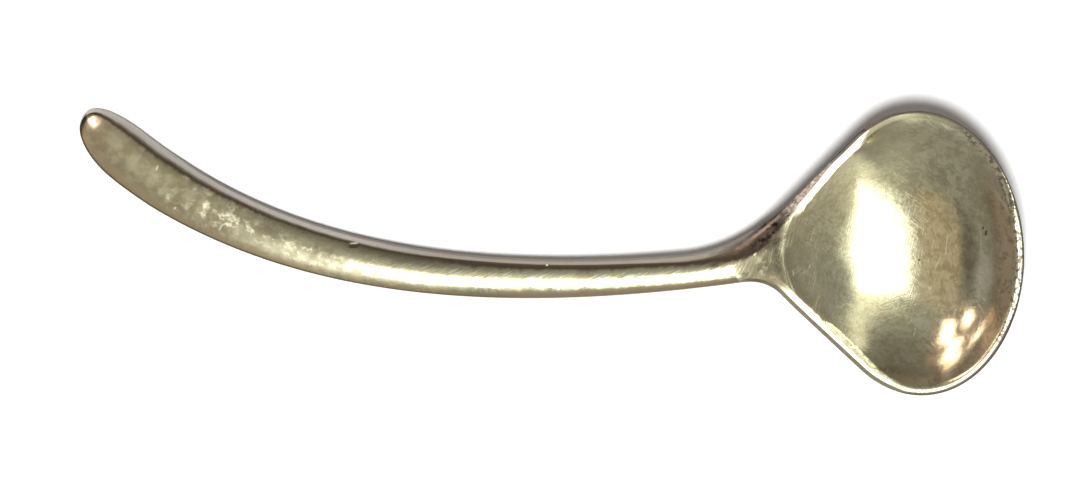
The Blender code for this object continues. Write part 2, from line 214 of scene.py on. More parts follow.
# matt colours laid over the metal, mostly as painted shade
PALE_WALL_SHADE = (0.54, 0.52, 0.49, 1.0)
DARKER_WALL_SHADE = (0.42, 0.39, 0.315, 1.0)
BAND_SHADE = (0.29, 0.235, 0.165, 1.0)
LOW_PLATE_SHADE = (0.25, 0.215, 0.14, 1.0)
NECK_SHADE_AND_DIRT = (0.13, 0.10, 0.085, 1.0)
EDGE_SHADE = (0.12, 0.10, 0.085, 1.0)
EDGE_OLIVE = (0.15, 0.14, 0.095, 1.0)
WALL_BROWN = (0.265, 0.23, 0.165, 1.0)

# Surface
RELIEF_STEP = 0.00001  # reliefs are in hundredths of a millimetre
RELIEF_MIDDLE = 3.8
TWIST = (0.0, 0.7, 0.7)  # the direction that the handle's face leans to
WALL_EASE = 0.70  # how far the light sees the hollow's walls as gentler than they are
NOISE_ROUGHNESS = 0.55
SEED_SHIFT = (13.1, 7.7, 3.3)
STROKE_RADIUS = 6.0
STROKE_SWAY = 2.4
STROKE_SHIFT = 5.3
ANY_HEIGHT = 1.0e6  # marks of use reach through the metal
HOLLOW_SPAN = 8.0  # millimetres from the deepest point to the rim
STREAK_TURN = math.radians(30.0)
HANDLE_HATCH_TURN = math.radians(24.0)
PLATE_HATCH_TURN = math.radians(62.0)
FURROW_TURN = math.radians(38.0)

# Camera, table and its lamp
CAMERA_TILT = math.radians(14.3)
CAMERA_DISTANCE = 0.9
CAMERA_SIGHT = (0.01, 50.0)  # nearest and farthest that it sees
SENSOR = 36.0
FRAME_WIDTH = 1078 / 13430.0  # metres that the picture is wide at the spoon
FRAME_CENTRE = Vector((-0.000957, -0.000969))
TABLE_HALF = 6.0
TABLE_GREY = (0.30, 0.30, 0.30, 1.0)
TABLE_GLOW = 0.04
TABLE_LAMP = 9.5
TABLE_LAMP_FROM = Vector((-0.02, 0.06, 1.0))
TABLE_LAMP_ANGLE = math.radians(11.5)

# Room light: left, right, low (towards -Y) and high in degrees from overhead, then the border's softness
ROOM = ((0.0, (0.40, 0.37, 0.33, 1.0)), (0.5, (0.44, 0.44, 0.43, 1.0)), (0.70, (0.42, 0.41, 0.39, 1.0)),
        (0.85, (0.31, 0.29, 0.26, 1.0)), (1.0, (0.25, 0.235, 0.215, 1.0)))
HORIZON = 0.02
DARK_DOORWAY = (-66.0, -53.0, -50.0, -14.0, 8.0)
DARKNESS = 0.45
WINDOW = (-14.5, 4.0, -43.0, -3.0, 3.0)
WINDOW_STRENGTH = 3.0
WINDOW_MIDDLE = -22.0
WINDOW_REACH = 27.0
WINDOW_SPREAD = 14.0
WINDOW_SPREAD_MOST = 1.4
WINDOW_PARTING = -3.0
WINDOW_SLANT_START = -25.0
WINDOW_SLANT = 0.9
WHITE = (1.0, 1.0, 1.0, 1.0)
# soft panes and walls: edges, shear, colour, strength
PANES = (((-24.0, 22.0, -62.0, 26.0, 26.0), 0.0, (0.90, 1.0, 0.84, 1.0), 0.14),
         ((-4.0, 12.0, -55.0, 4.0, 12.0), 0.0, (1.0, 0.96, 0.78, 1.0), 0.8),
         ((-6.0, 36.0, -4.0, 16.0, 7.0), 0.63, (1.0, 0.97, 0.78, 1.0), 0.9),
         ((8.0, 40.0, -56.0, -34.0, 14.0), 0.0, (1.0, 0.95, 0.74, 1.0), 0.4),
         ((10.0, 20.0, -28.0, 2.0, 6.0), 0.0, (0.86, 1.0, 0.96, 1.0), 0.35),
         ((-53.0, -18.0, -44.0, 6.0, 8.0), 0.0, (1.0, 0.62, 0.16, 1.0), 0.22),
         ((-86.0, -38.0, 4.0, 74.0, 14.0), 0.0, (1.0, 0.45, 0.25, 1.0), 0.20))
LAMPS = ((-54.0, -42.0, 22.0, 50.0, 2.0), (-68.0, -55.0, 50.0, 69.0, 2.0), (-70.0, -61.5, 10.0, 34.0, 2.0),
         (-76.0, -67.0, 69.0, 77.0, 2.0), (-86.5, -79.5, 62.0, 75.0, 2.0))
LAMP_COLOUR = (1.0, 0.76, 0.66, 1.0)
LAMP_STRENGTH = 6.0

UPPER = 1.0
LOWER = -1.0


# Plan curves

def along(heading):
    return Vector((math.cos(heading), math.sin(heading)))


def flank_touch(half_length, half_width, meet):
    squeezed = Vector((meet.x, meet.y * half_length / half_width))
    facing = math.atan2(squeezed.y, squeezed.x) % math.tau
    spread = math.acos(half_length / squeezed.length)
    return facing - spread, facing + spread


def ellipse_point(half_length, half_width, angle):
    return Vector((half_length * math.cos(angle), half_width * math.sin(angle)))


def flank_direction(side, meet):
    angles = flank_touch(BOWL_HALF_LENGTH, BOWL_HALF_WIDTH, meet)
    touch = ellipse_point(BOWL_HALF_LENGTH, BOWL_HALF_WIDTH, angles[0] if side == UPPER else angles[1])
    return (touch - meet).normalized()


def bowl_curve(half_length, half_width, meet, starts):
    upper, lower = flank_touch(half_length, half_width, meet)
    sweep = np.linspace(upper, lower - math.tau, RIM_STEPS + 1)
    round_part = [ellipse_point(half_length, half_width, angle) for angle in sweep]
    shares = np.linspace(0.0, 1.0, FLANK_STEPS, endpoint=False)
    first = [starts[0].lerp(round_part[0], share) for share in shares]
    last = [starts[1].lerp(round_part[-1], share) for share in shares]
    return first + round_part + last[::-1]


MEET = Vector((-FLANK_REACH, FLANK_SHIFT))
NECK = MEET + Vector((-NECK_SETBACK, NECK_SHIFT))
NECK_ALONG = along(NECK_HEADING)
NECK_ACROSS = Vector((-NECK_ALONG.y, NECK_ALONG.x))
FLANKS = {side: flank_direction(side, MEET) for side in (UPPER, LOWER)}
SWEEPS = {UPPER: WIDE_SWEEP, LOWER: TIGHT_SWEEP}


def sweep_start(side):
    edge = NECK + NECK_ACROSS * (side * NECK_WIDTH / 2)
    flank = FLANKS[side]
    gap = MEET - edge
    corner = (gap.x * flank.y - gap.y * flank.x) / (NECK_ALONG.x * flank.y - NECK_ALONG.y * flank.x)
    turn = NECK_ALONG.angle(flank)
    return corner - SWEEPS[side] * math.tan(turn / 2), SWEEPS[side] * math.sin(turn)


SWEEP_STARTS = {side: sweep_start(side) for side in (UPPER, LOWER)}


def sweep_flare(place, side):
    start, length = SWEEP_STARTS[side]
    run = np.clip(place - start, 0.0, length)
    return SWEEPS[side] - np.sqrt(SWEEPS[side] ** 2 - run ** 2)


def neck_edge(place, side):
    half = NECK_WIDTH / 2 + sweep_flare(place, side)
    return NECK + NECK_ALONG * place + NECK_ACROSS * (side * half)


HALF_ANGLE = FLANKS[UPPER].angle(FLANKS[LOWER]) / 2
INNER_LENGTH = BOWL_HALF_LENGTH - RIM_WIDTH
INNER_WIDTH = BOWL_HALF_WIDTH - RIM_WIDTH
BISECTOR = (FLANKS[UPPER] + FLANKS[LOWER]).normalized()
INNER_MEET = MEET + BISECTOR * (RIM_WIDTH / math.sin(HALF_ANGLE))
BELLY_NOSE = HOLLOW_NOSE + RIM_WIDTH
ACROSS = np.sin(np.linspace(-math.pi / 2, math.pi / 2, ACROSS_STEPS + 1))
RIM_SHARES = np.sin(np.linspace(-math.pi / 2, math.pi / 2, RIM_ROWS + 1)) / 2 + 0.5


def nose_ends(meet, radius):
    reach = radius / math.tan(HALF_ANGLE)
    return meet + FLANKS[UPPER] * reach, meet + FLANKS[LOWER] * reach


def nose_point(meet, radius, share):
    centre = meet + BISECTOR * (radius / math.sin(HALF_ANGLE))
    facing = math.atan2(BISECTOR.y, BISECTOR.x)
    swing = math.pi / 2 - HALF_ANGLE
    return centre - along(facing - share * swing) * radius


HOLLOW_ENDS = nose_ends(INNER_MEET, HOLLOW_NOSE)
HOLLOW_CURVE = bowl_curve(INNER_LENGTH, INNER_WIDTH, INNER_MEET, HOLLOW_ENDS)
HOLLOW_LOOP = HOLLOW_CURVE + [nose_point(INNER_MEET, HOLLOW_NOSE, share) for share in ACROSS[1:-1]]
RIM_ENDS = [MEET + FLANKS[side] * (end - MEET).dot(FLANKS[side])
            for side, end in zip((UPPER, LOWER), HOLLOW_ENDS)]
RIM_CURVE = bowl_curve(BOWL_HALF_LENGTH, BOWL_HALF_WIDTH, MEET, RIM_ENDS)
BELLY_LOOP = bowl_curve(BOWL_HALF_LENGTH, BOWL_HALF_WIDTH, MEET, nose_ends(MEET, BELLY_NOSE))
BELLY_LOOP = BELLY_LOOP + [nose_point(MEET, BELLY_NOSE, share) for share in ACROSS[1:-1]]


# Heights as functions of the place in plan

def smooth_step(value):
    share = np.clip(value, 0.0, 1.0)
    return share * share * (3.0 - 2.0 * share)


def smooth_max(first, second, softness):
    overlap = np.maximum(softness - np.abs(first - second), 0.0) / softness
    return np.maximum(first, second) + overlap * overlap * softness / 4.0


def loop_reach(loop, angles):
    points = np.array(loop)
    headings = np.arctan2(points[:, 1], points[:, 0])
    return np.interp(angles, headings, np.hypot(points[:, 0], points[:, 1]), period=math.tau)


def ring_reach(share, angles, reach, half_length, half_width):
    """Radius of a level curve: a squarish oval near the deepest point, the full outline at share 1."""
    lengthwise = np.abs(np.cos(angles) / half_length) ** SQUARENESS
    crosswise = np.abs(np.sin(angles) / half_width) ** SQUARENESS
    oval = (lengthwise + crosswise) ** (-1.0 / SQUARENESS)
    weight = share ** OUTLINE_LATENESS
    return share * (oval * (1.0 - weight) + reach * weight)


def ring_middle(share):
    """Middle of a level curve, along and across the bowl."""
    return DEEPEST.x * (1.0 - share ** 2), DEEPEST.y * (1.0 - share ** 2)


def level_of(plan, loop, half_length, half_width):
    """Which level curve of a bowl runs through each place."""
    low, high = np.zeros(len(plan)), np.full(len(plan), 1.0)
    for _ in range(HALVINGS):
        middle = (low + high) / 2
        mid_x, mid_y = ring_middle(middle)
        angles = np.arctan2(plan[:, 1] - mid_y, plan[:, 0] - mid_x)
        radius = np.hypot(plan[:, 0] - mid_x, plan[:, 1] - mid_y)
        short = ring_reach(middle, angles, loop_reach(loop, angles), half_length, half_width) < radius
        low = np.where(short, middle, low)
        high = np.where(short, high, middle)
    return (low + high) / 2


def distance_to(plan, line):
    """Distance from each place to a polyline."""
    line = np.array(line)
    best = np.full(len(plan), 1.0)
    for start, end in zip(line[:-1], line[1:]):
        run = end - start
        share = np.clip(((plan - start) @ run) / max(run @ run, NO_LENGTH), 0.0, 1.0)
        best = np.minimum(best, np.linalg.norm(plan - start - share[:, None] * run, axis=1))
    return best


def edge_round(distance, radius):
    into = np.clip(radius - distance, 0.0, radius)
    return radius - np.sqrt(radius ** 2 - into ** 2)


def clouds(points, size, seed):
    """Soft irregularity between about -1 and 1, with features of a given size."""
    offset = Vector(CLOUD_SHIFT) * seed
    return np.array([noise.fractal(Vector(point) / size + offset, *CLOUD_GRADING) for point in points])


def section(share, power):
    return (1.0 - np.minimum(np.abs(share), 1.0) ** power) ** (1.0 / power)


# The bowl

def plate_side(side):
    """Outer line of the neck plate on one side, from the hollow's end to past the joint."""
    pick = 0 if side == UPPER else -1
    inner, outer = HOLLOW_CURVE[pick], RIM_CURVE[pick]
    start, length = SWEEP_STARTS[side]
    flank_end = neck_edge(start + length, side)
    rim = [inner.lerp(outer, share) for share in RIM_SHARES]
    flank = [outer.lerp(flank_end, share) for share in np.linspace(0.0, 1.0, FLANK_STEPS + 1)]
    places = np.linspace(start + length, SCARF_START - PLATE_SPARE, NECK_STEPS + 1)
    neck = [neck_edge(place, side) for place in places[1:]]
    return rim[:-1] + flank + neck


class Plan:
    """Rows of places in plan that share their border places."""

    def __init__(self):
        self.places = []
        self.quads = []

    def add(self, rows):
        width = len(rows[0])
        first = len(self.places)
        for number, row in enumerate(rows):
            self.places.extend((place[0], place[1]) for place in row)
            if number == 0:
                continue
            for step in range(width - 1):
                corner = first + (number - 1) * width + step
                self.quads.append((corner, corner + 1, corner + width + 1, corner + width))


def bowl_plan():
    plan = Plan()
    loop = np.array(HOLLOW_LOOP + HOLLOW_LOOP[:1])
    angles = np.arctan2(loop[:, 1], loop[:, 0])
    reach = np.hypot(loop[:, 0], loop[:, 1])
    rings = []
    for share in np.sin(np.linspace(0.0, math.pi / 2, RING_STEPS + 1)):
        radius = ring_reach(share, angles, reach, HOLLOW_MIDDLE, INNER_WIDTH)
        mid_x, mid_y = ring_middle(share)
        rings.append(np.column_stack((mid_x + radius * np.cos(angles), mid_y + radius * np.sin(angles))))
    plan.add(rings)
    inner, outer = np.array(HOLLOW_CURVE), np.array(RIM_CURVE)
    plan.add([inner + (outer - inner) * share for share in RIM_SHARES])
    upper, lower = np.array(plate_side(UPPER)), np.array(plate_side(LOWER))
    mixing = ((ACROSS + 1) / 2)[:, None]
    chord = lower[0] + (upper[0] - lower[0]) * mixing
    nose = np.array([nose_point(INNER_MEET, HOLLOW_NOSE, share) for share in ACROSS])
    last = len(upper) - 1
    plan.add([lower[row] + (upper[row] - lower[row]) * mixing + (nose - chord) * (1.0 - row / last)
              for row in range(last + 1)])
    border = list(upper[RIM_ROWS:][::-1]) + list(outer) + list(lower[RIM_ROWS:])
    return plan, border


def top_share(places):
    """1 along the top and the upper right of the bowl, where the rim is worn round, and 0 elsewhere."""
    turn = np.arctan2(places[:, 1], places[:, 0])
    return smooth_step((turn - TOP_BEGINS) / TOP_RISE) * (1.0 - smooth_step((turn - TOP_ENDS) / TOP_FALL))


def nose_share(places):
    """1 at the hollow's end towards the neck, and 0 elsewhere."""
    turn = np.abs(np.arctan2(places[:, 1], places[:, 0]))
    return smooth_step((turn - NOSE_BEGINS) / NOSE_RISE)


def lip_wear(places, from_border):
    """Fall of the uneven lip along the right."""
    turn = np.arctan2(places[:, 1], places[:, 0])
    into_lip = np.clip(1.0 - from_border / LIP_WIDTH, 0.0, 1.0)
    right_side = np.exp(-(turn / RIGHT_LIP_SPREAD) ** 2)
    flat = np.column_stack((places, np.zeros(len(places))))
    notches = np.clip(clouds(flat, NOTCH_SIZE, NOTCH_SEED), 0.0, 1.0)
    return into_lip ** LIP_POWER * RIGHT_LIP_FALL * right_side * notches


def across_share(place, beside):
    """How far each place lies from the neck's middle line, as a share of the half width on its side."""
    upper, lower = (NECK_WIDTH / 2 + sweep_flare(place, side) for side in (UPPER, LOWER))
    return np.clip(beside / np.where(beside > 0.0, upper, lower), -1.0, 1.0)


def bowl_heights(plan, border):
    places = np.array(plan.places)
    hollow = level_of(places, HOLLOW_LOOP, HOLLOW_MIDDLE, INNER_WIDTH)
    belly = level_of(places, BELLY_LOOP, HOLLOW_MIDDLE + RIM_WIDTH, BOWL_HALF_WIDTH)
    from_hollow = distance_to(places, HOLLOW_LOOP + HOLLOW_LOOP[:1])
    from_border = distance_to(places, border)
    inside = hollow < 1.0 - LEVEL_MARGIN
    depth = np.where(inside, HOLLOW_DEPTH * (1.0 - hollow ** HOLLOW_POWER), 0.0)

    # rounded inner edge of the rim
    signed = np.where(inside, from_hollow, -from_hollow)
    slope = HOLLOW_POWER * HOLLOW_DEPTH / loop_reach(HOLLOW_LOOP, np.arctan2(places[:, 1], places[:, 0]))
    soft = RIM_INNER_ROUND + (TOP_INNER_ROUND - RIM_INNER_ROUND) * top_share(places)
    soft = soft + (NOSE_INNER_ROUND - RIM_INNER_ROUND) * nose_share(places)
    rounding = np.clip(signed + soft, 0.0, 2 * soft) ** 2 / (4 * soft)
    rounding = np.where(np.abs(signed) < soft, rounding - np.maximum(signed, 0.0), 0.0)
    depth = depth + slope * rounding

    # the neck takes over the handle's section
    from_neck = places - np.array(NECK)
    place = from_neck @ np.array(NECK_ALONG)
    beside = from_neck @ np.array(NECK_ACROSS)
    shares = across_share(place, beside)
    neckness = 1.0 - smooth_step((place - NECK_STARTS) / NECK_RUN)
    half = HANDLE_THICKNESS / 2
    outline = section(shares, np.where(shares > 0.0, NECK_EDGE, CRISP_EDGE))
    crown_left = 1.0 - smooth_step((place - CROWN_STARTS) / CROWN_RUN)
    crowned = half * (1.0 - outline)
    crown = CROWN * shares ** 2 * outline * np.where(shares < 0.0, crown_left, neckness)
    plain = edge_round(from_border, RIM_OUTER_ROUND)
    spout = np.hypot((places[:, 0] - SPOUT.x) / SPOUT_LENGTH, (places[:, 1] - SPOUT.y) / SPOUT_WIDTH)
    dip = SPOUT_DEPTH * np.exp(-spout ** 2)
    into_shoulder = np.clip(1.0 - distance_to(places, border[:len(border) // 2]) / SHOULDER_WIDTH, 0.0, 1.0)
    shoulder_left = 1.0 - smooth_step((place - SHOULDER_STARTS) / SHOULDER_RUN)
    shoulder = SHOULDER * into_shoulder ** 2 * shoulder_left * (1.0 - neckness)
    top = -depth - crowned * neckness - crown - plain * (1.0 - neckness) - dip - shoulder
    top = top - lip_wear(places, from_border)

    fall = HOLLOW_DEPTH + FLOOR_THICKNESS - RIM_EDGE
    belly_depth = RIM_EDGE + fall * (1.0 - belly ** HOLLOW_POWER)
    scarf_end = SCARF_START + HANDLE_THICKNESS / math.tan(SCARF_ANGLE)
    thinning = smooth_step((np.abs(beside) - KEEL_WIDTH / 2) / KEEL_SLOPE)
    thinning = thinning * smooth_step((place - scarf_end) / KEEL_SLOPE)
    keel = HANDLE_THICKNESS + (RIM_EDGE - HANDLE_THICKNESS) * thinning
    under = np.where(place > FLANK_REACH, belly_depth, smooth_max(belly_depth, keel, KEEL_BLEND))
    raised = half * (1.0 - section(shares, BACK_EDGE))
    bottom = -under + raised * neckness + plain * (1.0 - neckness)
    marks = {"place": place * MILLIMETRES, "across": shares, "from_tip": place * MILLIMETRES + TIP_MARK,
             "level": hollow, "from_rim": from_border * MILLIMETRES,
             "shoulder": into_shoulder * (place < SHOULDER_END),
             "height": 1.0 - (1.0 - outline) * neckness, "from_hollow": signed * -MILLIMETRES}
    return places, top, np.minimum(bottom, top - LEAST_THICKNESS), marks


def weld(body):
    bmesh.ops.remove_doubles(body, verts=body.verts, dist=WELD)
    bmesh.ops.dissolve_degenerate(body, edges=body.edges, dist=WELD)


def solid_of(places, top, bottom, quads, marks):
    """Closed body between an upper and a lower skin over one plan, with marks for its finish."""
    body = bmesh.new()
    for name in ("depth", *marks):
        body.verts.layers.float.new(name)
    layers = body.verts.layers.float
    depth, height = layers["depth"], layers["height"]
    corners = []
    for number, ((x, y), high, low) in enumerate(zip(places, top, bottom)):
        corner = body.verts.new((x, y, high))
        corner[depth] = low
        for name, values in marks.items():
            corner[layers[name]] = values[number]
        corners.append(corner)
    for quad in quads:
        body.faces.new([corners[number] for number in quad])
    weld(body)
    grown = bmesh.ops.extrude_face_region(body, geom=body.faces[:], use_keep_orig=True)
    for piece in grown["geom"]:
        if isinstance(piece, bmesh.types.BMVert):
            piece.co.z = piece[depth]
            piece[height] = -1.0
    bmesh.ops.recalc_face_normals(body, faces=body.faces)
    layers.remove(depth)
    return body


def soften_nose(body):
    """Let the neck's plate run into the hollow without a crease."""
    layers = body.verts.layers.float
    names = ("place", "height", "from_rim", "from_hollow")
    place, height, from_rim, from_hollow = (layers[name] for name in names)
    chosen = [corner for corner in body.verts
              if corner[height] >= 0.0 and abs(corner[from_hollow]) < NOSE_SOFTENED
              and corner[place] < NOSE_END and corner[from_rim] > RIM_WIDTH * MILLIMETRES]
    for _ in range(NOSE_PASSES):
        bmesh.ops.smooth_vert(body, verts=chosen, factor=NOSE_FACTOR, use_axis_z=True)


def cut(body, shift, towards_bowl):
    normal = (NECK_ALONG * math.sin(SCARF_ANGLE)).to_3d() + Vector((0.0, 0.0, math.cos(SCARF_ANGLE)))
    place = (NECK + NECK_ALONG * SCARF_START).to_3d() + normal * shift
    parts = body.verts[:] + body.edges[:] + body.faces[:]
    done = bmesh.ops.bisect_plane(body, geom=parts, dist=WELD, plane_co=place, plane_no=normal,
                                  clear_inner=towards_bowl, clear_outer=not towards_bowl)
    edges = [item for item in done["geom_cut"] if isinstance(item, bmesh.types.BMEdge)]
    bmesh.ops.contextual_create(body, geom=edges)
    bmesh.ops.recalc_face_normals(body, faces=body.faces)


# Expressions on sockets

class Value:
    """A socket that can be calculated with."""

    def __init__(self, tree, socket):
        self.tree = tree
        self.socket = socket

    def math(self, operation, *others, swapped=False):
        node = self.tree.nodes.new("ShaderNodeMath")
        node.operation = operation
        terms = [self, *others]
        if swapped:
            terms.reverse()
        for slot, term in zip(node.inputs, terms):
            feed(self.tree, slot, term)
        return Value(self.tree, node.outputs[0])

    def __add__(self, other):
        return self.math("ADD", other)

    def __sub__(self, other):
        return self.math("SUBTRACT", other)

    def __rsub__(self, other):
        return self.math("SUBTRACT", other, swapped=True)

    def __mul__(self, other):
        return self.math("MULTIPLY", other)

    def __truediv__(self, other):
        return self.math("DIVIDE", other)

    def __rtruediv__(self, other):
        return self.math("DIVIDE", other, swapped=True)

    def __pow__(self, other):
        return self.math("POWER", other)

    __radd__ = __add__
    __rmul__ = __mul__


def most(first, *others):
    """The largest of several values."""
    for other in others:
        first = first.math("MAXIMUM", other)
    return first


def held(value, low=0.0, high=1.0):
    """A value kept between two limits."""
    return value.math("MAXIMUM", low).math("MINIMUM", high)


def feed(tree, slot, term):
    if isinstance(term, Value):
        tree.links.new(term.socket, slot)
    else:
        slot.default_value = term


def add_node(tree, kind, settings=None, sockets=None, output=0):
    """Any node: its type, its settings, then the values or links of its sockets."""
    node = tree.nodes.new(kind)
    for name, setting in (settings or {}).items():
        if name == "stops":
            ramp = node.color_ramp
            while len(ramp.elements) < len(setting):
                ramp.elements.new(0.5)
            for element, (place, colour) in zip(ramp.elements, setting):
                element.position = place
                element.color = colour
        else:
            setattr(node, name, setting)
    for name, term in (sockets or {}).items():
        feed(tree, node.inputs[name], term)
    return Value(tree, node.outputs[output])


# The handle: a section carried along the bow

def bow_curve():
    """The bow as a curve, from past the joint to the tip."""
    tip = NECK + Vector((-HANDLE_REACH, HANDLE_SWING))
    start = NECK + NECK_ALONG * BAR_SPARE
    data = bpy.data.curves.new("bow", "CURVE")
    data.dimensions = "3D"
    data.resolution_u = CURVE_STEPS
    spline = data.splines.new("BEZIER")
    spline.bezier_points.add(2)
    tip_along = along(-TIP_HEADING)
    knots = ((start, start + NECK_ALONG * END_PULL, start - NECK_ALONG * JOINT_PULL),
             (NECK, NECK + NECK_ALONG * JOINT_PULL, NECK - NECK_ALONG * NECK_PULL),
             (tip, tip + tip_along * TIP_PULL, tip - tip_along * END_PULL))
    for point, (place, before, after) in zip(spline.bezier_points, knots):
        point.handle_left_type = "FREE"
        point.handle_right_type = "FREE"
        point.co = place.to_3d()
        point.handle_left = before.to_3d()
        point.handle_right = after.to_3d()
    return put("bow", data)


BAR_SIZES = {"Neck length": BAR_SPARE, "Neck width": NECK_WIDTH, "Wide width": HANDLE_WIDTH,
             "Thickness": HANDLE_THICKNESS, "Widest from tip": WIDEST_FROM_TIP, "Tip round": TIP_ROUND,
             "Taper power": TAPER_POWER, "Tip bluntness": TIP_BLUNTNESS, "Tip drop": TIP_DROP,
             "Tip drop length": TIP_DROP_LENGTH, "Crown": CROWN, "Crown growth": CROWN_GROWTH,
             "Worn power": WORN_EDGE, "Neck power": NECK_EDGE, "Neck fade": NECK_FADE, "Tip power": TIP_EDGE,
             "Tip fade": TIP_FADE, "Crisp power": CRISP_EDGE, "Back power": BACK_EDGE,
             "Lower swell": LOWER_SWELL, "Upper sweep": WIDE_SWEEP, "Upper start": SWEEP_STARTS[UPPER][0],
             "Upper length": SWEEP_STARTS[UPPER][1], "Lower sweep": TIGHT_SWEEP,
             "Lower start": SWEEP_STARTS[LOWER][0], "Lower length": SWEEP_STARTS[LOWER][1]}
BAR_STEPS = {"Steps along": HANDLE_STEPS, "Steps around": SECTION_STEPS}


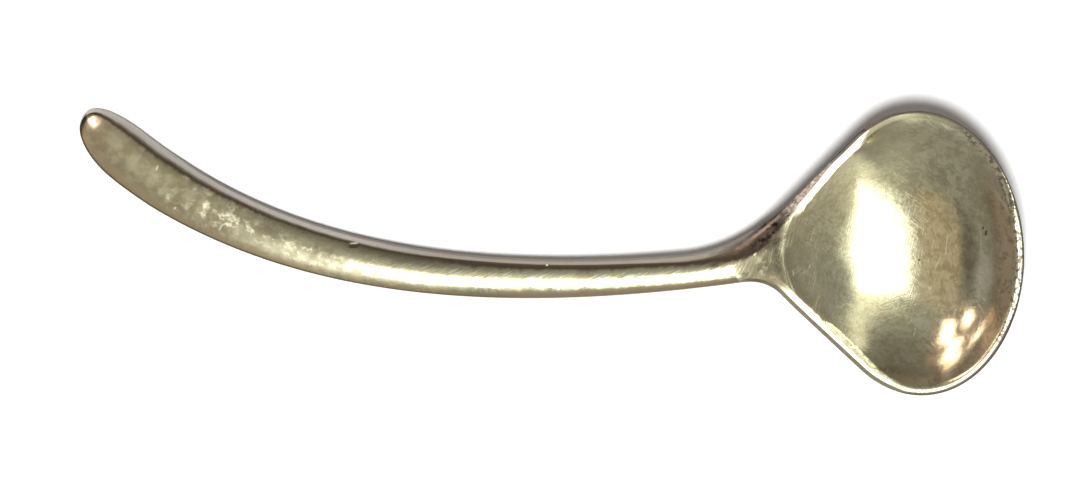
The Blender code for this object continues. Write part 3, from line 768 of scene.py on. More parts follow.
def bar_tree():
    """Node tree of a domed bar with a flat back that tapers along a curve and ends in a round tip."""
    tree = bpy.data.node_groups.new("forged bar", "GeometryNodeTree")
    face = tree.interface
    face.new_socket("Path", in_out="INPUT", socket_type="NodeSocketGeometry")
    for name in BAR_SIZES:
        face.new_socket(name, in_out="INPUT", socket_type="NodeSocketFloat")
    for name in BAR_STEPS:
        face.new_socket(name, in_out="INPUT", socket_type="NodeSocketInt")
    face.new_socket("Finish", in_out="INPUT", socket_type="NodeSocketMaterial")
    face.new_socket("Bar", in_out="OUTPUT", socket_type="NodeSocketGeometry")
    entry = tree.nodes.new("NodeGroupInput")
    given = {socket.name: Value(tree, socket) for socket in entry.outputs if socket.name}

    def node(kind, settings=None, sockets=None, output=0):
        return add_node(tree, kind, settings, sockets, output)

    path = given["Path"]
    length = node("GeometryNodeCurveLength", sockets={"Curve": path})
    counted = {"Curve": path, "Count": given["Steps along"]}
    steps = node("GeometryNodeResampleCurve", {"mode": "COUNT"}, counted)
    share = node("GeometryNodeSplineParameter")
    crowded = 1.0 - (1.0 - share) ** TIP_CROWDING
    sample = tree.nodes.new("GeometryNodeSampleCurve")
    sample.mode = "FACTOR"
    feed(tree, sample.inputs["Curves"], path)
    feed(tree, sample.inputs["Factor"], crowded)
    centre = Value(tree, sample.outputs["Position"])
    forward = Value(tree, sample.outputs["Tangent"])
    run = crowded * length - given["Neck length"]
    from_tip = (1.0 - crowded) * length

    kept = tree.nodes.new("GeometryNodeCaptureAttribute")
    kept.domain = "POINT"
    feed(tree, kept.inputs["Geometry"], steps)
    fields = {}
    for kind, name, term in (("VECTOR", "centre", centre), ("VECTOR", "forward", forward),
                             ("FLOAT", "run", run), ("FLOAT", "from tip", from_tip)):
        kept.capture_items.new(kind, name)
        feed(tree, kept.inputs[name], term)
        fields[name] = Value(tree, kept.outputs[name])
    ring = node("GeometryNodeCurvePrimitiveCircle", {"mode": "RADIUS"},
                {"Resolution": given["Steps around"]})
    turned = tree.nodes.new("GeometryNodeCaptureAttribute")
    turned.domain = "POINT"
    feed(tree, turned.inputs["Geometry"], ring)
    turned.capture_items.new("FLOAT", "turn")
    feed(tree, turned.inputs["turn"], node("GeometryNodeSplineParameter"))
    turn = Value(tree, turned.outputs["turn"]) * math.tau
    swept = node("GeometryNodeCurveToMesh", sockets={"Curve": Value(tree, kept.outputs["Geometry"]),
                                                     "Profile Curve": Value(tree, turned.outputs["Geometry"]),
                                                     "Fill Caps": True})

    across = turn.math("COSINE")
    upward = turn.math("SINE")
    size = across.math("ABSOLUTE")
    rise = upward.math("ABSOLUTE")
    is_face = upward.math("GREATER_THAN", 0.0)
    is_upper = across.math("GREATER_THAN", 0.0)
    place, from_tip = fields["run"], fields["from tip"]
    near_neck = 1.0 - held(place / given["Neck fade"])
    near_tip = most(1.0 - from_tip / given["Tip fade"], 0.0)
    worn = given["Worn power"]
    worn_power = worn + (given["Neck power"] - worn) * near_neck ** NECK_FADE_POWER
    worn_power = worn_power + (given["Tip power"] - worn) * near_tip
    face_power = given["Crisp power"] + (worn_power - given["Crisp power"]) * is_upper
    power = given["Back power"] + (face_power - given["Back power"]) * is_face
    spread = size ** SECTION_CROWDING
    reach = across.math("SIGN") * spread
    height = upward.math("SIGN") * (1.0 - spread.math("MINIMUM", 1.0) ** power) ** (1.0 / power)

    body = (length - given["Neck length"]) - given["Widest from tip"]
    growth = (most(place, 0.0) / body).math("MINIMUM", 1.0) ** given["Taper power"]
    half = (given["Neck width"] + (given["Wide width"] - given["Neck width"]) * growth) * 0.5
    into_tip = held(1.0 - from_tip / given["Tip round"], 0.0, ALMOST)
    rounding = (1.0 - into_tip ** given["Tip bluntness"]) ** (1.0 / given["Tip bluntness"])
    flares = []
    for side in ("Upper", "Lower"):
        reached = held(0.0 - place - given[side + " start"], 0.0, given[side + " length"])
        sweep = given[side + " sweep"]
        flares.append(sweep - (sweep * sweep - reached * reached) ** 0.5)
    flare = flares[1] + (flares[0] - flares[1]) * is_upper
    swell = given["Lower swell"] * growth ** SWELL_POWER * (1.0 - is_upper)
    offset = reach * ((half + swell) * rounding + flare)
    thick = given["Thickness"] * 0.5
    low_tip = thick * (1.0 - rounding) ** TIP_LOWERING_POWER * is_face * TIP_LOWERING
    raised = most(height, 0.0)
    doming = given["Crown"] * (1.0 + given["Crown growth"] * growth) * reach * reach * raised
    into_drop = most(1.0 - from_tip / given["Tip drop length"], 0.0)
    drop = given["Tip drop"] * into_drop * into_drop * raised
    lift = height * thick - thick - doming - drop - low_tip * rise
    parts = tree.nodes.new("ShaderNodeSeparateXYZ")
    feed(tree, parts.inputs[0], fields["forward"])
    ahead_x, ahead_y = Value(tree, parts.outputs[0]), Value(tree, parts.outputs[1])
    sideways = {"X": ahead_y * offset, "Y": (0.0 - ahead_x) * offset, "Z": lift}
    shift = node("ShaderNodeCombineXYZ", sockets=sideways)
    spot = node("ShaderNodeVectorMath", {"operation": "ADD"}, {0: fields["centre"], 1: shift})
    shaped = node("GeometryNodeSetPosition", sockets={"Geometry": swept, "Position": spot})
    for name, term in (("place", place * -MILLIMETRES), ("from_tip", from_tip * MILLIMETRES),
                       ("across", reach), ("height", height)):
        shaped = node("GeometryNodeStoreNamedAttribute", {"data_type": "FLOAT", "domain": "POINT"},
                      {"Geometry": shaped, "Name": name, "Value": term})
    whole = node("GeometryNodeRealizeInstances", sockets={"Geometry": shaped})
    painted = node("GeometryNodeSetMaterial", sockets={"Geometry": whole, "Material": given["Finish"]})
    leaving = tree.nodes.new("NodeGroupOutput")
    feed(tree, leaving.inputs["Bar"], painted)
    return tree


def grown_mesh(carrier, tree, values):
    """Plain mesh that a node tree makes from a carrier object."""
    growing = carrier.modifiers.new("shape", "NODES")
    growing.node_group = tree
    for socket in tree.interface.items_tree:
        if socket.in_out == "INPUT" and socket.name in values:
            growing[socket.identifier] = values[socket.name]
    bpy.context.view_layer.update()
    seen = bpy.context.evaluated_depsgraph_get()
    mesh = bpy.data.meshes.new_from_object(carrier.evaluated_get(seen), depsgraph=seen)
    carrier.modifiers.remove(growing)
    bpy.data.objects.remove(carrier)
    return mesh


def bar_body(finish):
    """The whole bar, from past the joint to the tip, as an editable mesh."""
    mesh = grown_mesh(bow_curve(), bar_tree(), {**BAR_SIZES, **BAR_STEPS, "Finish": finish})
    body = bmesh.new()
    body.from_mesh(mesh)
    bpy.data.meshes.remove(mesh)
    weld(body)
    bmesh.ops.recalc_face_normals(body, faces=body.faces)
    return body


# Finishes

class Paint:
    """One material of tarnished metal. Lengths are in millimetres and marks are read from the mesh."""

    def __init__(self, name):
        self.material = bpy.data.materials.new(name)
        self.material.use_nodes = True
        self.tree = self.material.node_tree
        self.shader = self.tree.nodes["Principled BSDF"]
        self.shader.inputs["Metallic"].default_value = 1.0
        metres = self.node("ShaderNodeTexCoord", output="Object")
        scaled = {0: metres, "Scale": MILLIMETRES}
        self.where = self.node("ShaderNodeVectorMath", {"operation": "SCALE"}, scaled)

    def node(self, kind, settings=None, sockets=None, output=0):
        return add_node(self.tree, kind, settings, sockets, output)

    def marks(self, *names):
        """Values stored on the mesh. place, from_tip, from_rim and from_hollow are in millimetres."""
        return [self.node("ShaderNodeAttribute", {"attribute_name": name}, output="Fac") for name in names]

    def axis(self, name):
        return self.node("ShaderNodeSeparateXYZ", None, {0: self.where}, output=name)

    def mapped(self, start, turn, sizes):
        """Places counted from a start, turned in plan, in units of given sizes."""
        return self.node("ShaderNodeMapping", {"vector_type": "TEXTURE"},
                         {"Vector": self.where, "Location": start, "Rotation": (0.0, 0.0, turn),
                          "Scale": sizes})

    def placed(self, size, seed, turn=0.0):
        sizes = size if isinstance(size, tuple) else (size, size, size)
        return self.mapped([seed * shift for shift in SEED_SHIFT], turn, sizes)

    def noise(self, size, detail=3.0, seed=0.0, turn=0.0):
        """Soft irregularity round 0.5 with features of a given size."""
        return self.noise_at(self.placed(size, seed, turn), detail)

    def noise_at(self, where, detail):
        return self.node("ShaderNodeTexNoise", None, {"Vector": where, "Scale": 1.0, "Detail": detail,
                                                      "Roughness": NOISE_ROUGHNESS}, output="Fac")

    def strokes(self, length, width, seed):
        """Marks of polishing that run round the hollow."""
        deepest = (rest_matrix() @ DEEPEST.to_3d()) * MILLIMETRES
        turn = (self.axis("Y") - deepest.y).math("ARCTAN2", self.axis("X") - deepest.x)
        level = self.marks("level")[0]
        outward = level * (HOLLOW_SPAN / width) + (self.noise(1.6, 2.0, seed) - 0.5) * (STROKE_SWAY / width)
        spread = self.node("ShaderNodeCombineXYZ", None, {"X": turn * (STROKE_RADIUS / length), "Y": outward,
                                                          "Z": seed * STROKE_SHIFT})
        return self.noise_at(spread, 3.0)

    def spots(self, apart, reach, seed):
        """Small round spots, a given distance apart on average."""
        distance = self.node("ShaderNodeTexVoronoi", {"feature": "F1"},
                             {"Vector": self.placed(apart, seed), "Scale": 1.0}, output="Distance")
        return self.smooth(distance, reach / apart, 0.4 * reach / apart)

    def scratches(self, length, width, turn, seed):
        """Thin broken lines in one direction."""
        lines = self.smooth(self.noise((length, width, length), 1.0, seed, turn), 0.61, 0.70)
        return lines * self.smooth(self.noise(2.4, 2.0, seed + 4.0), 0.46, 0.6)

    def touch(self, place, half_length, half_width, turn=0.0, softness=0.2):
        """One mark at a place of the plan, in millimetres, long in one direction."""
        moved = self.mapped((*place, 0.0), turn, (half_length, half_width, ANY_HEIGHT))
        reach = self.node("ShaderNodeVectorMath", {"operation": "LENGTH"}, {0: moved}, output="Value")
        return self.smooth(reach + (self.noise(0.2, 2.0, 40.0) - 0.5) * 0.8, 1.0 + softness, 1.0 - softness)

    def touches(self, marks):
        """Several such marks together."""
        return most(*(self.touch(*mark) for mark in marks))

    def smooth(self, value, low, high, bottom=0.0, top=1.0):
        """Soft step from one value, where it is 0 unless given, to another, where it is 1."""
        return self.node("ShaderNodeMapRange", {"interpolation_type": "SMOOTHSTEP"},
                         {"Value": value, "From Min": low, "From Max": high, "To Min": bottom, "To Max": top})

    def between(self, value, low, full, still, high):
        """1 from one value to another, with a soft rise before them and a soft fall after them."""
        return self.smooth(value, low, full) * self.smooth(value, high, still)

    def near(self, value, middle, outer, inner):
        """1 within an inner distance of a middle value, 0 past an outer one."""
        return self.smooth((value - middle).math("ABSOLUTE"), outer, inner)

    def mix(self, colour, *layers):
        """A colour with others laid over it in turn, each by its own share."""
        for other, share in layers:
            sockets = {0: share, 6: colour, 7: other}
            colour = self.node("ShaderNodeMix", {"data_type": "RGBA"}, sockets, output=2)
        return colour

    def eased(self, share, towards=(0.0, 0.0, 1.0)):
        """The surface's direction, turned by a share towards another one, straight up unless given."""
        facing = self.node("ShaderNodeNewGeometry", output="Normal")
        sockets = {0: share, 4: facing, 5: towards}
        turned = self.node("ShaderNodeMix", {"data_type": "VECTOR"}, sockets, output=1)
        return self.node("ShaderNodeVectorMath", {"operation": "NORMALIZE"}, {0: turned})

    def done(self, colour, roughness, height, dirt_and_shade, dirt_and_shade_colour, facing=None):
        """Set what varies over the surface. A matt layer of dirt and painted shade lies over the metal by its
        own share.
        """
        sockets = {"Strength": 1.0, "Distance": RELIEF_STEP, "Height": height}
        if facing is not None:
            sockets["Normal"] = facing
        normal = self.node("ShaderNodeBump", None, sockets)
        feed(self.tree, self.shader.inputs["Base Color"], colour)
        feed(self.tree, self.shader.inputs["Roughness"], roughness)
        feed(self.tree, self.shader.inputs["Normal"], normal)
        matt = self.node("ShaderNodeBsdfPrincipled", None, {"Base Color": dirt_and_shade_colour, "Roughness": 1.0,
                                                             "Specular IOR Level": 0.0, "Normal": normal})
        metal = Value(self.tree, self.shader.outputs["BSDF"])
        mixed = self.node("ShaderNodeMixShader", None, {0: dirt_and_shade, 1: metal, 2: matt})
        out = next(node for node in self.tree.nodes if node.type == "OUTPUT_MATERIAL")
        feed(self.tree, out.inputs["Surface"], mixed)
        return self.material


def neck_colours(paint, colour):
    """The painted shade of the dark shoulder, the crease, the wall's foot and the lower band, and the side
    wall in darker painted copies of the metal, that run through handle, solder and neck.
    """
    fade = paint.smooth
    place, across, height = paint.marks("place", "across", "height")
    sway = paint.noise(0.85, 4.0, 2.0) - 0.5
    streaks = paint.noise((1.6, 0.22, 0.6), 3.0, 24.0, STREAK_TURN)
    towards_tip = fade(place, -18.0, -26.0)
    ends = most(towards_tip, fade(place, -9.0, -4.0))
    wall = fade(height + sway * 0.12 - ends * 0.20, 0.72, 0.50)
    # painted shade at the wall's foot, next to the table
    foot_shade = fade(height + sway * 0.3, -0.10, -0.50) * fade(place, -48.0, -40.0) * 0.8
    on_neck = fade(place, 4.6, 2.6)
    # painted shade over the upper half of the neck's face
    upper_half = fade(across + sway * 0.8, 0.15, 0.75) * on_neck * fade(place, -8.0, -2.0, 0.3, 0.55)
    # painted shade along the lower edge of the neck (low_band) and of the handle (brown_band)
    low_band = fade(across + sway * 0.3, -0.45, -0.75) * fade(place, 3.4, 2.4)
    brown_band = fade(across + sway * 0.3, -0.40, -0.58) * paint.between(place, -22.0, -15.0, 0.0, 1.5)
    # painted shade on the neck's upper shoulder
    dark = fade(place + sway * 4.0, -4.5, 0.5) * fade(across + sway * 0.4, 0.34, 0.54)
    dark = dark * on_neck * (1.0 - wall)
    # painted shade in the crease along the upper edge, joined below with the shoulder's
    uneven = height + (streaks - 0.5) * 0.05 + sway * 0.06
    crease = most(fade(uneven, 0.990, 0.955) * (1.0 - towards_tip), fade(uneven, 0.972, 0.90))
    crease = crease * fade(across, 0.2, 0.5) * (1.0 - wall)
    painted_shade = most(crease * 0.85, dark * (0.55 + fade(streaks, 0.62, 0.42) * 0.4))

    # darker copies of the metal on the side wall: painted shade
    walls = paint.mix(WALL, (DARK_WALL, fade(place, -32.0, -22.0)), (FOOT_SHADE, foot_shade))
    colour = paint.mix(colour, (BROWN, low_band * 0.75), (DULL, low_band * fade(place, -4.0, 1.0) * 0.8),
                       (GRIME_AND_SHADE, low_band * fade(place, -0.5, 1.0) * 0.35), (DULL, upper_half), (walls, wall),
                       (GRIME_AND_SHADE, painted_shade))
    # matt coat over the side wall: painted shade
    wall_shade_colour = paint.mix(PALE_WALL_SHADE, (DARKER_WALL_SHADE, fade(place, -32.0, -18.0)),
                          (NECK_SHADE_AND_DIRT, fade(place + sway * 4.0, -3.5, 1.0)), (FOOT_SHADE, foot_shade))
    dirt_and_shade_colour = paint.mix(GRIME_AND_SHADE, (PIT, crease * 0.25), (wall_shade_colour, wall), (BAND_SHADE, brown_band))
    dirt_and_shade = most(wall * 0.7, painted_shade * 0.6, crease * 0.75, brown_band * 0.7)
    return colour, painted_shade, dirt_and_shade, dirt_and_shade_colour


def handle_silver():
    paint = Paint("handle silver")
    fade = paint.smooth
    from_tip, across = paint.marks("from_tip", "across")
    broad = paint.noise(3.4, 2.0, 1.0)
    mottle = paint.noise(0.85, 4.0, 2.0)
    fine = paint.noise(0.55, 4.0, 9.0)
    grain = paint.noise(0.17, 2.0, 3.0)
    hatch = paint.noise((1.1, 0.13, 0.5), 2.0, 4.0, HANDLE_HATCH_TURN)
    stain = fade(paint.noise(1.7, 3.0, 5.0), 0.54, 0.68)
    scarred = paint.scratches(2.2, 0.07, 0.45, 6.0) + paint.scratches(1.6, 0.06, -0.9, 7.0)
    sway = mottle - 0.5
    # painted highlight on the tip, with the relief flattened under it
    tip_highlight = paint.near(from_tip, 0.65, 0.65, 0.2) * paint.near(across, 0.2, 0.5, 0.1)
    dull = fade(from_tip + (broad - 0.5) * 12.0 + sway * 16.0, 30.0, 13.0) * (1.0 - tip_highlight)
    bowed = paint.between(from_tip, 12.0, 17.0, 26.0, 38.0)
    shaded = fade(across + sway * 0.5, -0.02, 0.25) * bowed
    # painted highlight over the lower half of the face
    lower_highlight = fade(across + (fine - 0.5) * 0.4, 0.10, -0.25) * fade(across, -0.85, -0.6) * bowed
    near_tip = fade(from_tip, 26.0, 20.0)
    specks = fade(fine, 0.47, 0.68) * fade(from_tip + sway * 14.0, 7.0, 12.0) * near_tip
    # painted shade along the lower edge of the face
    outline = fade(across, -0.87, -0.95)
    # painted shade of a small dent, matt and dark
    dent_shade = paint.touch(*HANDLE_DENT_SHADE)
    # painted highlights: small glints on the handle and the lit edge of the dent
    painted_glints = most(paint.touches(HANDLE_PAINTED_GLINTS), paint.touch(*HANDLE_DENT_HIGHLIGHT))

    dull_colour = paint.mix(DULL, (TAN, fade(mottle, 0.40, 0.62)))
    colour = paint.mix(OLIVE, (BRIGHT, fade(mottle, 0.30, 0.58) * 0.9), (BROWN, stain * 0.5),
                       (dull_colour, dull), (BRIGHT, most(specks * 0.65, lower_highlight * 0.6)),
                       (SHADE, shaded * 0.7))
    colour, painted_shade, dirt_and_shade, dirt_and_shade_colour = neck_colours(paint, colour)
    colour = paint.mix(colour, (PAINTED_GLINT, painted_glints * 0.8), (PIT, dent_shade * 0.85), (PAINTED_GLINT, tip_highlight * 0.8),
                       (GRIME_AND_SHADE, outline * (0.45 + near_tip * 0.35)))
    dirt_and_shade = most(dirt_and_shade * (1.0 - painted_glints), dent_shade * 0.7)
    roughness = (0.10 + mottle * 0.08 + dull * (0.52 - mottle * 0.2) + stain * 0.05 + painted_shade * 0.25
                 - specks * dull * 0.2 + tip_highlight * 0.06 + painted_glints * 0.2)
    relief = hatch * 0.9 + grain * 0.25 + mottle * 1.3 + broad * 4.5 - scarred * 0.2
    relief = relief + fine * (0.6 + dull * 2.4)
    relief = (relief - RELIEF_MIDDLE) * (1.0 - tip_highlight * 0.85)
    twisted = paint.eased(fade(from_tip, 7.0, 13.0) * (0.04 + bowed * 0.10), TWIST)
    return paint.done(colour, roughness, relief, dirt_and_shade, dirt_and_shade_colour, twisted)


def bowl_silver():
    paint = Paint("bowl silver")
    fade = paint.smooth
    between = paint.between
    place, across, level, height = paint.marks("place", "across", "level", "height")
    from_rim, from_hollow, shoulder = paint.marks("from_rim", "from_hollow", "shoulder")
    upward = paint.axis("Y")

    # irregularities
    broad = paint.noise(4.5, 2.0, 11.0)
    cloud = paint.noise(2.1, 3.0, 12.0)
    mottle = paint.noise(0.8, 5.0, 13.0)
    fine = paint.noise(0.3, 3.0, 23.0)
    grain = paint.noise(0.16, 2.0, 14.0)
    grit = paint.noise(0.30, 2.0, 41.0)
    hatch = paint.noise((1.2, 0.14, 0.6), 3.0, 35.0, PLATE_HATCH_TURN)
    furrows = paint.noise((0.8, 0.22, 0.6), 2.0, 45.0, FURROW_TURN)
    brushed = paint.noise((1.3, 0.06, 1.3), 2.0, 10.0, 0.3) + paint.noise((1.0, 0.06, 1.0), 2.0, 20.0, 1.2)
    swept = paint.strokes(1.1, 0.20, 30.0)
    stain = fade(paint.noise(1.5, 3.0, 15.0), 0.54, 0.68)
    scarred = (paint.scratches(2.6, 0.07, 0.35, 16.0) + paint.scratches(2.2, 0.06, 1.35, 17.0)
               + paint.scratches(1.8, 0.06, -0.7, 18.0))
    specks = paint.spots(2.1, 0.12, 19.0) * fade(cloud, 0.48, 0.6)
    sway = mottle - 0.5
    drift = cloud - 0.5
    hatched = (mottle + hatch) * 0.5
    patches = mottle * 0.3 + cloud * 0.2 + fine * 0.2 + swept * 0.3
    worn = fine * 0.3 + mottle * 0.3 + swept * 0.4

    # zones of the bowl and its neck
    face = fade(height, -0.2, 0.0)
    inside = fade(level, 1.0, 0.985)
    flat = 1.0 - inside
    towards_neck = fade(place - fade(upward, -2.0, 3.0) * 1.6, 11.0, 7.3)
    upper_side = fade(upward, 0.5, 1.5) * fade(place, 2.5, 4.0)
    lower_side = fade(across, 0.0, -0.4) * between(place, -0.5, 0.8, 10.0, 13.0)
    near_neck = fade(place, 9.0, 5.0) * upper_side
    flank = fade(place, 12.0, 10.0) * fade((upward - 0.5).math("ABSOLUTE"), 0.7, 2.7)
    low_right = fade(place, 8.0, 12.0) * fade(upward, -3.0, -6.0)
    top_line = fade(upward, 5.5, 8.0)
    steep = fade(level, 0.25, 0.80) * fade(from_hollow, 0.8, 0.1) * fade(place, 2.0, 4.0)
    steep = steep * most(towards_neck, fade(upward, 3.5, 8.0) * 0.45)
    # darker, matt brown towards the rim inside the hollow
    border = fade(level + sway * 0.16 + drift * 0.10 - fade(upward, -3.0, -5.0) * 0.07, 0.76, 0.92) * inside
    border = border * (1.0 - towards_neck) * fade(upward + drift * 5.0, 8.0, 4.0)
    lip = fade(from_rim, 0.8, 0.55) * flat
    # painted shade on the neck plate, broken by hatching
    plate = flat * face * fade(place, 8.5, 6.5) * fade(place + sway * 2.0, -0.5, 0.6)
    plate = plate * fade(from_hollow, 0.1, 0.8) * most(fade(from_rim, 0.45, 0.65), fade(place, 3.1, 2.4))
    # painted shade on the lower side of the neck plate
    low_plate = fade(from_rim, 1.1, 0.8) * fade(place + sway * 2.0, 3.6, 2.6)
    inner_plate = fade(from_rim, 0.70, 0.95) * between(place, 1.5, 3.0, 6.0, 8.0)
    low_plate = most(low_plate, inner_plate * fade(from_hollow, -0.1, 0.3)) * lower_side
    shoulder = fade(shoulder - most(place - 2.5, 0.0) * 0.11 + sway * 0.5, 0.12, 0.36)
    shoulder = shoulder * between(place, 0.5, 2.5, 4.2, 5.6)
    nose_low = paint.near(from_hollow, 0.3, 1.1, 0.5) * fade(upward, 0.6, -0.8) * fade(place, 7.0, 5.5)
    nose_low = nose_low * fade(from_rim, 0.5, 0.9)
    # painted shade along the outer rim edge
    edge_width = most(low_right * 0.18, lower_side * 0.26, flank * 0.07, near_neck * 0.42, top_line * 0.09)
    edge = fade(from_rim - edge_width, 0.12, 0.05) * most(fade(place, 2.0, 5.0), lower_side)
    # painted pink reflection of the table on the upper flank's wall
    pale_wall = between(place, 3.6, 5.0, 7.0, 9.0) * fade(upward, 0.5, 1.5)
    # dark gaps in the right lip: painted shade
    gaps = fade(paint.noise(0.32, 1.0, 33.0), 0.50, 0.58) * fade(place, 17.0, 19.0) * flat
    pits = fade(paint.noise(0.42, 2.0, 25.0), 0.55, 0.63) * shoulder
    furrowed = most(pits, fade(furrows, 0.54, 0.62) * shoulder * 0.9)
    blobs = paint.spots(0.75, 0.17, 27.0) * shoulder * fade(place, 2.0, 4.0)
    # a thin line and pale flecks on the shoulder: painted reflection of the table
    thin_line = between(from_rim, 0.04, 0.12, 0.20, 0.32) * between(place, -1.0, 0.5, 5.5, 7.0) * shoulder
    pale = most(blobs * 0.8, thin_line * 0.7)
    smudges = fade(mottle * 0.6 + swept * 0.4, 0.55, 0.43) * fade(place, 13.0, 15.5) * inside
    tired = between(place, 7.5, 10.5, 14.5, 16.5) * fade(upward, -5.0, -7.0) * fade(from_rim, 1.3, 0.9)
    tired = tired * fade(hatched, 0.60, 0.48) * face
    stained = paint.touch(*NECK_STAIN) * fade(mottle, 0.62, 0.48)
    worn_band = fade(from_hollow + upper_side * 0.2 + near_neck * 0.2 + sway * 0.5, -0.32, -0.06) * flank
    worn_band = worn_band * fade(from_rim - upper_side * 0.5 + lower_side * 0.15, 1.15, 0.85)

    # metal
    # painted light in the metal: the top of the hollow lightened as a painted highlight, the neck plate
    # darkened as painted shade
    colour = paint.mix(
        OLIVE, (BRIGHT, fade(patches, 0.36, 0.62) * 0.8), (BROWN, stain * 0.3),
        (DULL, fade(worn, 0.58, 0.40) * 0.3), (DULL, border * (0.3 + fade(place, 13.0, 16.0) * 0.4)),
        (PLATE, plate * fade(hatched, 0.66, 0.50) * 0.95), (DULL, nose_low * 0.8),
        (BROWN, fade(place + drift * 3.0, 7.6, 5.6) * inside * 0.45),
        (BRIGHT, fade(upward + drift * 3.0, 3.5, 7.5) * inside * 0.55), (DULL, smudges * 0.35),
        (BRIGHT, (scarred * 0.45 + specks * 0.8).math("MINIMUM", 1.0)), (BRIGHT, lip * (1.0 - plate) * 0.7))
    colour, painted_shade, dirt_and_shade, dirt_and_shade_colour = neck_colours(paint, colour)
    # darker outer wall: painted shade
    outside = paint.mix(OUTSIDE, (GRIME_AND_SHADE, fade(mottle, 0.45, 0.65) * fade(place, 12.0, 5.0) * 0.8))
    beneath = paint.mix(TAN, (BRIGHT, fade(patches, 0.40, 0.62) * 0.5), (outside, fade(from_rim, 1.6, 0.4)))
    edge_colour = paint.mix(outside, (PINK_REFLECTION, pale_wall))
    # laid over the metal: the underside, the painted shade of the outer rim edge and the shoulder, pits,
    # painted reflections (pink, a brown reflected band, a pale patch), painted glints and dark scars
    colour = paint.mix(
        colour, (beneath, 1.0 - face), (edge_colour, most(edge * 0.9, gaps * 0.8)), (GRIME_AND_SHADE, shoulder * 0.7),
        (PIT, pits), (PINK_REFLECTION, pale), (BROWN, paint.touch(*BROWN_REFLECTED_BAND) * 0.4),
        (REFLECTION_PATCH, paint.touch(*PALE_REFLECTION) * 0.5), (PAINTED_GLINT, paint.touches(BOWL_PAINTED_GLINTS) * 0.6),
        (GRIME_AND_SHADE, paint.touches(BOWL_SCARS) * 0.8))

    # dirt
    dirt_and_shade = most(dirt_and_shade, shoulder * 0.75, pits * 0.9, edge * 0.85, gaps * 0.6, border * 0.75, low_plate * 0.7,
                tired * 0.55, stained * 0.6)
    # matt painted shade on the shoulder, with dark pits
    shoulder_shade = paint.mix(NECK_SHADE_AND_DIRT, (PIT, fade(mottle * 0.6 + cloud * 0.4, 0.46, 0.58) * 0.9))
    low_plate_shade = paint.mix(LOW_PLATE_SHADE, (TAN, fade(hatched, 0.44, 0.60)))
    edge_shade = paint.mix(EDGE_SHADE, (EDGE_OLIVE, lower_side), (PINK_REFLECTION, pale_wall * 0.9))
    rim_wall_tone = paint.mix(WALL_BROWN, (GRIME_AND_SHADE, fade(mottle * 0.6 + fine * 0.4, 0.46, 0.62) * 0.6))
    # dark specks and painted glints on the pale wall
    pitted = edge * pale_wall
    dirt_and_shade_colour = paint.mix(
        dirt_and_shade_colour, (shoulder_shade, shoulder), (PINK_REFLECTION, pale), (PIT, furrowed), (low_plate_shade, low_plate),
        (TAN, tired), (WALL_BROWN, stained), (edge_shade, most(edge, gaps)), (rim_wall_tone, border),
        (NECK_SHADE_AND_DIRT, pitted * fade(grit, 0.52, 0.44) * 0.85), (PAINTED_GLINT, pitted * fade(grit, 0.58, 0.66)))

    # polish and relief
    dark = most(shoulder * 0.9, painted_shade)
    roughness = 0.09 + mottle * 0.07 + stain * 0.05 + plate * 0.16 + dark * 0.35 + scarred * 0.05
    calm = 1.0 - fade(place, 12.0, 15.0) * 0.5
    relief = (mottle * 0.8 + grain * 0.12 + brushed * 0.35 + fine * 0.3 + swept * 0.35) * calm
    relief = (relief + broad * 3.0 - scarred * 0.15 + plate * (mottle * 2.0 + hatch * 1.5)
              + dark * cloud * 4.0 - pits * 2.0)
    ease = most(steep * WALL_EASE, worn_band)
    return paint.done(colour, roughness, relief, dirt_and_shade, dirt_and_shade_colour, paint.eased(ease))


def solder_silver():
    paint = Paint("solder")
    mottle = paint.noise(0.85, 4.0, 2.0)
    pits = paint.spots(0.5, 0.12, 22.0)
    colour = paint.mix(OLIVE, (BRIGHT, paint.smooth(mottle, 0.38, 0.64) * 0.85))
    colour, painted_shade, dirt_and_shade, dirt_and_shade_colour = neck_colours(paint, colour)
    colour = paint.mix(colour, (GRIME_AND_SHADE, pits * 0.35))
    roughness = 0.12 + mottle * 0.08 + painted_shade * 0.25 + pits * 0.1
    return paint.done(colour, roughness, mottle * 0.9 - pits * 0.4, dirt_and_shade, dirt_and_shade_colour)


# Assembly

def rest_matrix():
    return Matrix.Translation(REST_PLACE) @ Euler((LEAN, PITCH, TURN), "ZYX").to_matrix().to_4x4()


def put(name, data):
    """A new object in the scene."""
    item = bpy.data.objects.new(name, data)
    bpy.context.collection.objects.link(item)
    return item


def finish_piece(name, body, finish, node):
    mesh = bpy.data.meshes.new(name)
    bmesh.ops.triangulate(body, faces=[face for face in body.faces if len(face.verts) > 4])
    body.to_mesh(mesh)
    body.free()
    mesh.transform(rest_matrix())
    mesh.shade_smooth()
    mesh.set_sharp_from_angle(angle=CREASE)
    mesh.materials.clear()
    mesh.materials.append(finish)
    piece = put(name, mesh)
    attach(piece, "root")
    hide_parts(node)


def make_spoon():
    bowl_finish, handle_finish, solder_finish = bowl_silver(), handle_silver(), solder_silver()
    plan, border = bowl_plan()
    places, top, bottom, marks = bowl_heights(plan, border)
    body = solid_of(places, top, bottom, plan.quads, marks)
    soften_nose(body)
    cut(body, SOLDER / 2, towards_bowl=True)
    finish_piece("spoon_bowl", body, bowl_finish, "bowl")
    body = bar_body(handle_finish)
    cut(body, -SOLDER / 2, towards_bowl=False)
    finish_piece("spoon_handle", body, handle_finish, "handle")
    body = bar_body(solder_finish)
    cut(body, SOLDER / 2, towards_bowl=False)
    cut(body, -SOLDER / 2, towards_bowl=True)
    finish_piece("spoon_solder", body, solder_finish, "solder_seam")


# Stage

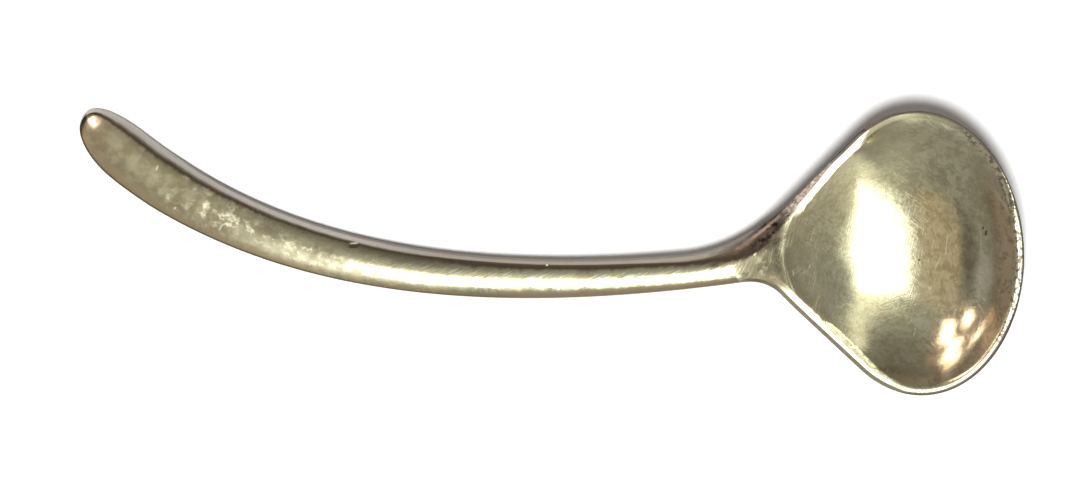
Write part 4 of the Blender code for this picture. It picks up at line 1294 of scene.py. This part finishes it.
def make_camera():
    data = bpy.data.cameras.new("camera")
    data.sensor_width = SENSOR
    data.lens = SENSOR * CAMERA_DISTANCE / FRAME_WIDTH
    data.clip_start, data.clip_end = CAMERA_SIGHT
    camera = put("camera", data)
    turn = Euler((-CAMERA_TILT, 0.0, 0.0)).to_matrix()
    aim = turn @ FRAME_CENTRE.to_3d()
    camera.location = aim + turn @ Vector((0.0, 0.0, CAMERA_DISTANCE))
    camera.rotation_euler = turn.to_euler()
    bpy.context.scene.camera = camera


def make_floor():
    material = bpy.data.materials.new("white table")
    material.use_nodes = True
    tree = material.node_tree
    tree.nodes.clear()
    path = tree.nodes.new("ShaderNodeLightPath")
    seen = sum((Value(tree, path.outputs[name]) for name in
                ("Is Camera Ray", "Is Glossy Ray", "Is Transmission Ray")), 0.0)
    glow = add_node(tree, "ShaderNodeEmission", sockets={"Color": WHITE,
                                                         "Strength": seen.math("MINIMUM", 1.0) * TABLE_GLOW})
    matt = add_node(tree, "ShaderNodeBsdfDiffuse", sockets={"Color": TABLE_GREY})
    both = add_node(tree, "ShaderNodeAddShader", sockets={0: glow, 1: matt})
    out = tree.nodes.new("ShaderNodeOutputMaterial")
    feed(tree, out.inputs["Surface"], both)
    body = bmesh.new()
    bmesh.ops.create_grid(body, x_segments=1, y_segments=1, size=TABLE_HALF)
    mesh = bpy.data.meshes.new("table")
    body.to_mesh(mesh)
    body.free()
    mesh.materials.append(material)
    table = put("table", mesh)
    return table


def make_table_lamp(table):
    """Soft lamp straight overhead that lights the table alone and draws the spoon's narrow shadow on it."""
    data = bpy.data.lights.new("table lamp", "SUN")
    data.energy = TABLE_LAMP
    data.angle = TABLE_LAMP_ANGLE
    lamp = put("table lamp", data)
    lamp.rotation_euler = TABLE_LAMP_FROM.to_track_quat("Z", "Y").to_euler()
    lit = bpy.data.collections.new("lit by the table lamp")
    lit.objects.link(table)
    lamp.light_linking.receiver_collection = lit


def box_mask(across, upward, left, right, low, high, softness):
    """1 inside a rectangle of directions, 0 outside, with a soft border."""
    mask = 1.0
    for inwards in (across - left, right - across, upward - low, high - upward):
        mask = held(inwards / softness + 0.5) * mask
    return mask


def make_light():
    """A dim room with a tall window on the near side, and a cluster of warm lamps far to the left."""
    world = bpy.data.worlds.new("room")
    bpy.context.scene.world = world
    world.use_nodes = True
    tree = world.node_tree
    tree.nodes.clear()
    where = tree.nodes.new("ShaderNodeTexCoord")
    parts = tree.nodes.new("ShaderNodeSeparateXYZ")
    tree.links.new(where.outputs["Generated"], parts.inputs[0])
    x, y, z = (Value(tree, socket) for socket in parts.outputs)
    lifted = most(z, HORIZON)
    across, upward = ((side / lifted).math("ARCTANGENT") * math.degrees(1.0) for side in (x, y))
    above = z.math("GREATER_THAN", HORIZON)
    room = add_node(tree, "ShaderNodeValToRGB", {"stops": ROOM}, {"Fac": y * 0.5 + 0.5})
    strength = 1.0 - box_mask(across, upward, *DARK_DOORWAY) * above * DARKNESS
    lit = add_node(tree, "ShaderNodeBackground", sockets={"Color": room, "Strength": strength})
    from_middle = (upward - WINDOW_MIDDLE) / WINDOW_REACH
    spread = (from_middle * from_middle).math("MINIMUM", WINDOW_SPREAD_MOST) * WINDOW_SPREAD
    slant = most(WINDOW_SLANT_START - upward, 0.0) * WINDOW_SLANT
    right_half = (across - WINDOW_PARTING).math("GREATER_THAN", 0.0)
    leaning = across - spread * right_half - slant * (1.0 - right_half)
    lights = [(box_mask(leaning, upward, *WINDOW), WHITE, WINDOW_STRENGTH)]
    for edges, shear, colour, glow in PANES:
        lights.append((box_mask(across, upward - across * shear, *edges), colour, glow))
    for edges in LAMPS:
        lights.append((box_mask(across, upward, *edges), LAMP_COLOUR, LAMP_STRENGTH))
    for mask, colour, glow in lights:
        sockets = {"Color": colour, "Strength": mask * above * glow}
        pane = add_node(tree, "ShaderNodeBackground", sockets=sockets)
        lit = add_node(tree, "ShaderNodeAddShader", sockets={0: lit, 1: pane})
    out = tree.nodes.new("ShaderNodeOutputWorld")
    feed(tree, out.inputs["Surface"], lit)


make_spoon()
make_camera()
make_table_lamp(make_floor())
make_light()
bpy.context.scene.view_settings.view_transform = "Standard"
